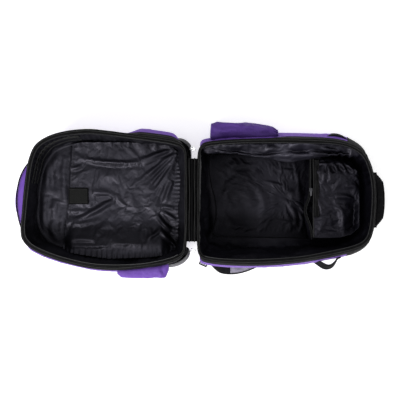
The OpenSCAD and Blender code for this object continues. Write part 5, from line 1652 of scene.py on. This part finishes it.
def strap(tag, C, sgn, body):
    C = np.array(C, float)
    C[:, 1] *= sgn
    A = resample(bez(C), n=110)
    T = unit(np.gradient(A, axis=0))
    S = np.stack([-T[:, 1], T[:, 0]], 1)
    s = np.linspace(0, 1, len(A))
    w = 54 - 10 * s
    endw = 1 - 0.55 * sstep(0.9, 1.0, s) - 0.2 * sstep(0.02, 0.0, s)
    half = w / 2 * endw
    # padded part: black cloth below and round the edge, spacer mesh on top
    us = np.linspace(-1, 1, 27)
    sh = np.sign(us) * np.abs(us) ** 0.8

    def sheet(z0, crown, shrink, name, mat, drop):
        V, nu = [], len(us)
        for i in range(len(A)):
            h = half[i] - shrink
            e = 1 - np.abs(sh) ** 6
            zz = z0 + crown * e - drop * (1 - e)
            V.append(np.column_stack([A[i, 0] + S[i, 0] * sh * h, A[i, 1] + S[i, 1] * sh * h, zz]))
        V = np.vstack(V)
        F = [(r * nu + i, r * nu + i + 1, (r + 1) * nu + i + 1, (r + 1) * nu + i) for r in range(len(A) - 1) for i in range(nu - 1)]
        return V, F
    Vt, Ft = sheet(7.2, 2.6, 1.2, "t", None, 0.6)
    Vb, Fb = sheet(6.6, -3.0, 1.2, "b", None, -0.6)
    V, F = join_vf([(Vt, Ft), (Vb, Fb)])
    nu, m = len(us), len(A)
    off = nu * m
    for r in range(m - 1):
        F.append((r * nu, (r + 1) * nu, off + (r + 1) * nu, off + r * nu))
        F.append((r * nu + nu - 1, (r + 1) * nu + nu - 1, off + (r + 1) * nu + nu - 1, off + r * nu + nu - 1))
    for i in range(nu - 1):
        F.append((i, i + 1, off + i + 1, off + i))
        k = (m - 1) * nu
        F.append((k + i, k + i + 1, off + k + i + 1, off + k + i))
    V[:, 2] += 0.25 * fbm(V, 22, 151, 2)
    done(make("strap_pad_cloth_" + tag, V, F, M_BLACK), body, ["strap_pad_" + tag])
    Vm, Fm = sheet(10.6, 1.5, 3.0, "m", None, 1.6)
    ch = 1.2 * np.exp(-((((np.repeat(s, len(us)) * 9) % 1) - 0.5) / 0.06) ** 2)
    Vm[:, 2] += 0.35 * fbm(Vm, 24, 153, 2) - ch
    o = solid(make("strap_mesh_cloth_" + tag, Vm, Fm, M_MESH), 1.4)
    done(o, body, ["strap_mesh_" + tag])
    L = np.vstack([A + S * (half[:, None] - 0.6), A[-1] + S[-1] * np.linspace(half[-1] - 0.6, -half[-1] + 0.6, 8)[1:-1, None], (A - S * (half[:, None] - 0.6))[::-1]])
    e = np.column_stack([L, np.full(len(L), 9.6)])
    done(make("strap_binding_" + tag, *sweep(resample(e, step=4), circle_sect(2.0, 8)), M_BAND), body)
    # black reinforcement sleeve near the buckle
    k0 = int(len(A) * 0.85)
    V = []
    for i in range(k0, len(A)):
        h = half[i] + 0.8
        e = 1 - np.abs(sh) ** 8
        V.append(np.column_stack([A[i, 0] + S[i, 0] * sh * h, A[i, 1] + S[i, 1] * sh * h, 10.4 + 3.0 * e + 0.3 * np.sin(i * 0.9)]))
    V = np.vstack(V)
    n_ = len(A) - k0
    F = [(r * nu + i, r * nu + i + 1, (r + 1) * nu + i + 1, (r + 1) * nu + i) for r in range(n_ - 1) for i in range(nu - 1)]
    done(solid(make("strap_end_patch_" + tag, V, F, M_BLACK), 1.0), body)
    st = []
    for q in (k0 + 1, k0 + 3):
        st.append(stitches(np.column_stack([A[q][None] + S[q][None] * np.linspace(-half[q] + 4, half[q] - 4, 30)[:, None], np.full(30, 14.0)]), (0, 0, 1), 2.6, 1.5, 0.4))
    # webbing tab that holds the buckle
    d = T[-1]
    p = np.array([[*(A[-1] - d * 16), 7.4], [*(A[-1] - d * 2), 6.6], [*(A[-1] + d * 8), 6.5]])
    done(make("strap_buckle_tab_" + tag, *sweep(resample(p, step=2), strap_sect(22, 2.2)), M_WEB), body)
    done(make("strap_stitching_" + tag, *join_vf(st), M_THREADK, smooth=False), body)
    # lower webbing: sewn to the bag, threaded through the buckle
    b = A[-1] + d * 22
    end = np.array([47.0, 130.0 * sgn])
    q = spline([(*b, 1.9), (*(b * 0.7 + end * 0.3 + [2, 0]), 1.7), (*(b * 0.3 + end * 0.7), 2.2), (*end, 5.0), (*(end + [10, -2 * sgn]), 13.2)], 12, closed=False)
    q = resample(q, step=2.5)
    o = make("strap_webbing_lower_" + tag, *sweep(q, strap_sect(24, 1.7)), M_WEB)
    tuple(to_m([(*b, 2)])[0])
    tuple(to_m([(*end, 4)])[0])
    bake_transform(o)
    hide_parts("strap_webbing_" + tag)


strap("left", [[436, 46], [350, 96], [250, 150], [96, 138]], 1, "strap_left")
strap("right", [[436, 46], [306, 62], [178, 270], [58, 190]], -1, "strap_right")

# ------------------------------------------------------------------ front shoe pocket, outside the lid
FP = rounded([(-36, 0), (-36, 80), (-38, 128), (-50, 146), (-90, 151), (-200, 152), (-320, 152), (-400, 148), (-460, 138), (-502, 116), (-527, 76), (-538, 30),
              (-540, -14), (-534, -58), (-520, -98), (-496, -122), (-450, -140), (-380, -150), (-280, -152), (-160, -152), (-80, -151), (-50, -146), (-38, -128), (-36, -80)], 260)
prof = spline([(84, 60.9), (60, 60.9), (38, 60.8), (21, 60.0), (11, 57.6), (5.0, 52.5), (1.4, 45), (0.4, 36), (1.6, 25), (5.2, 14.5), (10.5, 7.5), (17, 3.2), (25, 1.2)], 3, closed=False)
rows = [np.column_stack([inset(FP, d), np.full(260, z)]) for d, z in prof]
last = rows[-1][:, :2]
core = np.column_stack([np.clip(last[:, 0], -400, -160), np.full(260, 0.0)])
for k in range(1, 27):
    t = k / 26 * 0.985
    rows.append(np.column_stack([last * (1 - t) + core * t, np.full(260, 0.9)]))
V = np.vstack(rows)
n0 = len(prof) * 260
_, F = loft(rows, cap1=True)
side = np.arange(len(V)) < n0
nr = normals_of(V, F)
nr = nr * np.sign(((V - [-285, 0, 40]) * nr).sum(1, keepdims=True))
dd = 1.5 * fbm(V * [0.6, 0.6, 1], 50, 161, 3) * np.where(side, 1, 0)
V[:n0] += (nr * dd[:, None])[:n0]
face = ~side
V[face, 2] += 1.1 * np.abs(fbm(V[face], 60, 163, 3)) + 0.5 * np.abs(fbm(V[face], 22, 165, 2))
# stitched panel lines on the face
def groove(V, path, depth=1.1, w=2.2):
    C = resample(np.asarray(path, float), step=2.5)
    d2 = ((V[:, None, :2] - C[None]) ** 2).sum(2).min(1)
    return depth * np.exp(-d2 / w ** 2)
LINES = [spline([(-70, -128), (-110, -60), (-122, 0), (-110, 60), (-70, 128)], 14, closed=False),
         spline([(-500, -86), (-470, -40), (-462, 0), (-470, 40), (-500, 92)], 14, closed=False)]
for ln in LINES:
    V[face, 2] += groove(V[face], ln)
V[:, 2] = np.clip(V[:, 2], 0.5, 61.2)
o = make("front_pocket_cloth", V, F, M_PURPLE)
pinw = np.where(np.arange(len(V)) < 260 * 8, 1.0, np.where(face, 0.5, 0.08))


def keep_front(co):
    co[:, 2] = np.clip(co[:, 2], 0.0005, 0.0612)
    return co


cloth(o, pinw, frames=12, slack=0.03, pressure=0.3, cap=4.0, bend=0.3, keep=keep_front)
done(solid(o, 1.0, offset=0), "lid", ["front_pocket"])
cords = [sweep(np.column_stack([resample(inset(FP, 10.2), n=240, closed=True), np.full(240, 7.0)]), circle_sect(2.3, 8), closed=True),
         sweep(np.column_stack([resample(inset(FP, 5.6), n=240, closed=True), np.full(240, 54.0)]), circle_sect(2.0, 8), closed=True)]
done(make("front_pocket_piping", *join_vf(cords), M_BLACK), "lid")
parts = []
for ln in LINES:
    p = resample(ln, step=3)
    p3 = np.column_stack([p, np.full(len(p), 0.9)])
    for off in (-2.6, 2.6):
        parts.append(stitches(p3 + [off, 0, 0], (0, 0, -1), 3.2, 1.8, 0.45))
done(make("front_pocket_stitching", *join_vf(parts), M_THREAD, smooth=False), "lid")
# zip along the pocket's upper side wall
xz = np.linspace(-390, -90, 150)
fy = np.interp(xz, *(lambda q: (q[np.argsort(q[:, 0]), 0], q[np.argsort(q[:, 0]), 1]))(FP[FP[:, 1] > 60]))
tape = []
for z0, z1 in ((29.5, 39.0), (43.6, 53)):
    a = np.column_stack([xz, fy + 0.2, np.full(150, z0)])
    b = np.column_stack([xz, fy + 1.8, np.full(150, (z0 + z1) / 2)])
    c = np.column_stack([xz, fy + 1.6, np.full(150, z1)])
    tape.append(loft([a, b, c], closed=False))
done(solid(make("front_zip_tape", *join_vf(tape), M_TAPE), 0.9), "lid")
line = np.column_stack([xz, fy + 3.0, np.full(150, 41.2)])
done(make("front_zip_coil", *beads(line, (0, 1, 0), (1.6, 4.2, 1.7), 2.4), M_TEETH, smooth=False), "lid", ["front_zip"])


# ------------------------------------------------------------------ carried-over nodes: metal and moulded parts
def keep(node, mat, bevel=0.25, slot=None):
    o = NODES[node]
    o.data.materials.clear()
    o.data.materials.append(mat)
    if bevel:
        b = o.modifiers.new("edge", "BEVEL")
        b.width = bevel / 1000
        b.segments = 2
        b.limit_method = "ANGLE"
        b.angle_limit = math.radians(35)
        b.harden_normals = False
    return o


KEEP = {
    "slider_left": (M_METAL, 0.5, "hardware"), "slider_right": (M_METAL, 0.5, "hardware"),
    "pull_left": (M_METAL, 0.4, "hardware"), "pull_right": (M_METAL, 0.4, "hardware"),
    "accessory_slider": (M_DARKMETAL, 0.3, "small_hardware"), "accessory_pull": (M_DARKMETAL, 0.25, "small_hardware"),
    "front_slider": (M_DARKMETAL, 0.3, "small_hardware"), "front_pull": (M_DARKMETAL, 0.25, "small_hardware"),
    "strap_buckle_left": (M_BUCKLE, 0.5, "buckle_plastic"), "strap_buckle_right": (M_BUCKLE, 0.5, "buckle_plastic"),
}
for node, (mat, bev, sl) in KEEP.items():
    keep(node, mat, bev, sl)
for node, o in NODES.items():
    if node not in KEEP and not o.hide_render:
        keep(node, M_BLACK, 0)

# ------------------------------------------------------------------ floor, light, camera
def floor_mat():
    m, nt, bs, co = nodes_of("floor_paper")
    col = mixc(nt, ramp(nt, noise(nt, co, 3, 3), 0.3, 0.7), (0.90, 0.90, 0.905), (0.93, 0.93, 0.935))
    nt.links.new(col, bs.inputs["Base Color"])
    nt.links.new(ramp(nt, noise(nt, co, 80, 3), 0.3, 0.7, 0.55, 0.65), bs.inputs["Roughness"])
    bs.inputs["Emission Color"].default_value = (1, 1, 1, 1)
    far = N(nt, "ShaderNodeVectorMath", operation="LENGTH")
    nt.links.new(co, far.inputs[0])
    nt.links.new(ramp(nt, far.outputs["Value"], 0.9, 3.2, 0.55, 0.80), bs.inputs["Emission Strength"])
    bump(nt, bs, [(noise(nt, co, 600, 2), 0.05, 0.1)])
    return m


bpy.ops.mesh.primitive_plane_add(size=40, location=(-0.165, 0, -0.0006))
FLOOR = bpy.context.object
FLOOR.name = "floor_sheet"
FLOOR.data.materials.append(floor_mat())


def area(name, loc, look, size, power, color=(1, 1, 1), size_y=None):
    d = bpy.data.lights.new(name, "AREA")
    d.shape = "RECTANGLE"
    d.size = size
    d.size_y = size_y or size
    d.energy = power
    d.color = color
    o = bpy.data.objects.new(name, d)
    o.location = loc
    o.rotation_euler = (Vector(look) - Vector(loc)).to_track_quat("-Z", "Y").to_euler()
    SC.collection.objects.link(o)
    return o


area("key_left_front", (-1.25, -1.15, 1.65), (-0.165, 0, 0.05), 0.9, 38, (1.0, 0.99, 0.98))
area("top_soft", (-0.35, -0.1, 2.3), (-0.165, 0, 0.05), 1.0, 9, (0.97, 0.98, 1.0))
area("fill_right", (1.5, 0.2, 1.3), (-0.165, 0, 0.05), 1.2, 6, (1.0, 0.99, 0.98))
area("fill_back", (-0.1, 1.7, 1.1), (-0.165, 0, 0.05), 1.3, 4)

W = bpy.data.worlds.new("studio")
SC.world = W
W.use_nodes = True
bg = W.node_tree.nodes["Background"]
bg.inputs[0].default_value = (1, 1, 1, 1)
lp_ = W.node_tree.nodes.new("ShaderNodeLightPath")
W.node_tree.links.new(ramp(W.node_tree, lp_.outputs["Is Camera Ray"], 0, 1, 0.26, 1.0), bg.inputs[1])

cam = bpy.data.cameras.new("camera")
cam.sensor_width = 36
cam.lens = 36 * 1600 / 1140
cam.clip_end = 20
co = bpy.data.objects.new("camera", cam)
co.location = ((23 - OX) / 1000, 0, 1.760)
SC.collection.objects.link(co)
SC.camera = co
SC.view_settings.view_transform = "Standard"
SC.view_settings.look = "None"
SC.view_settings.exposure = 0
SC.view_settings.gamma = 1
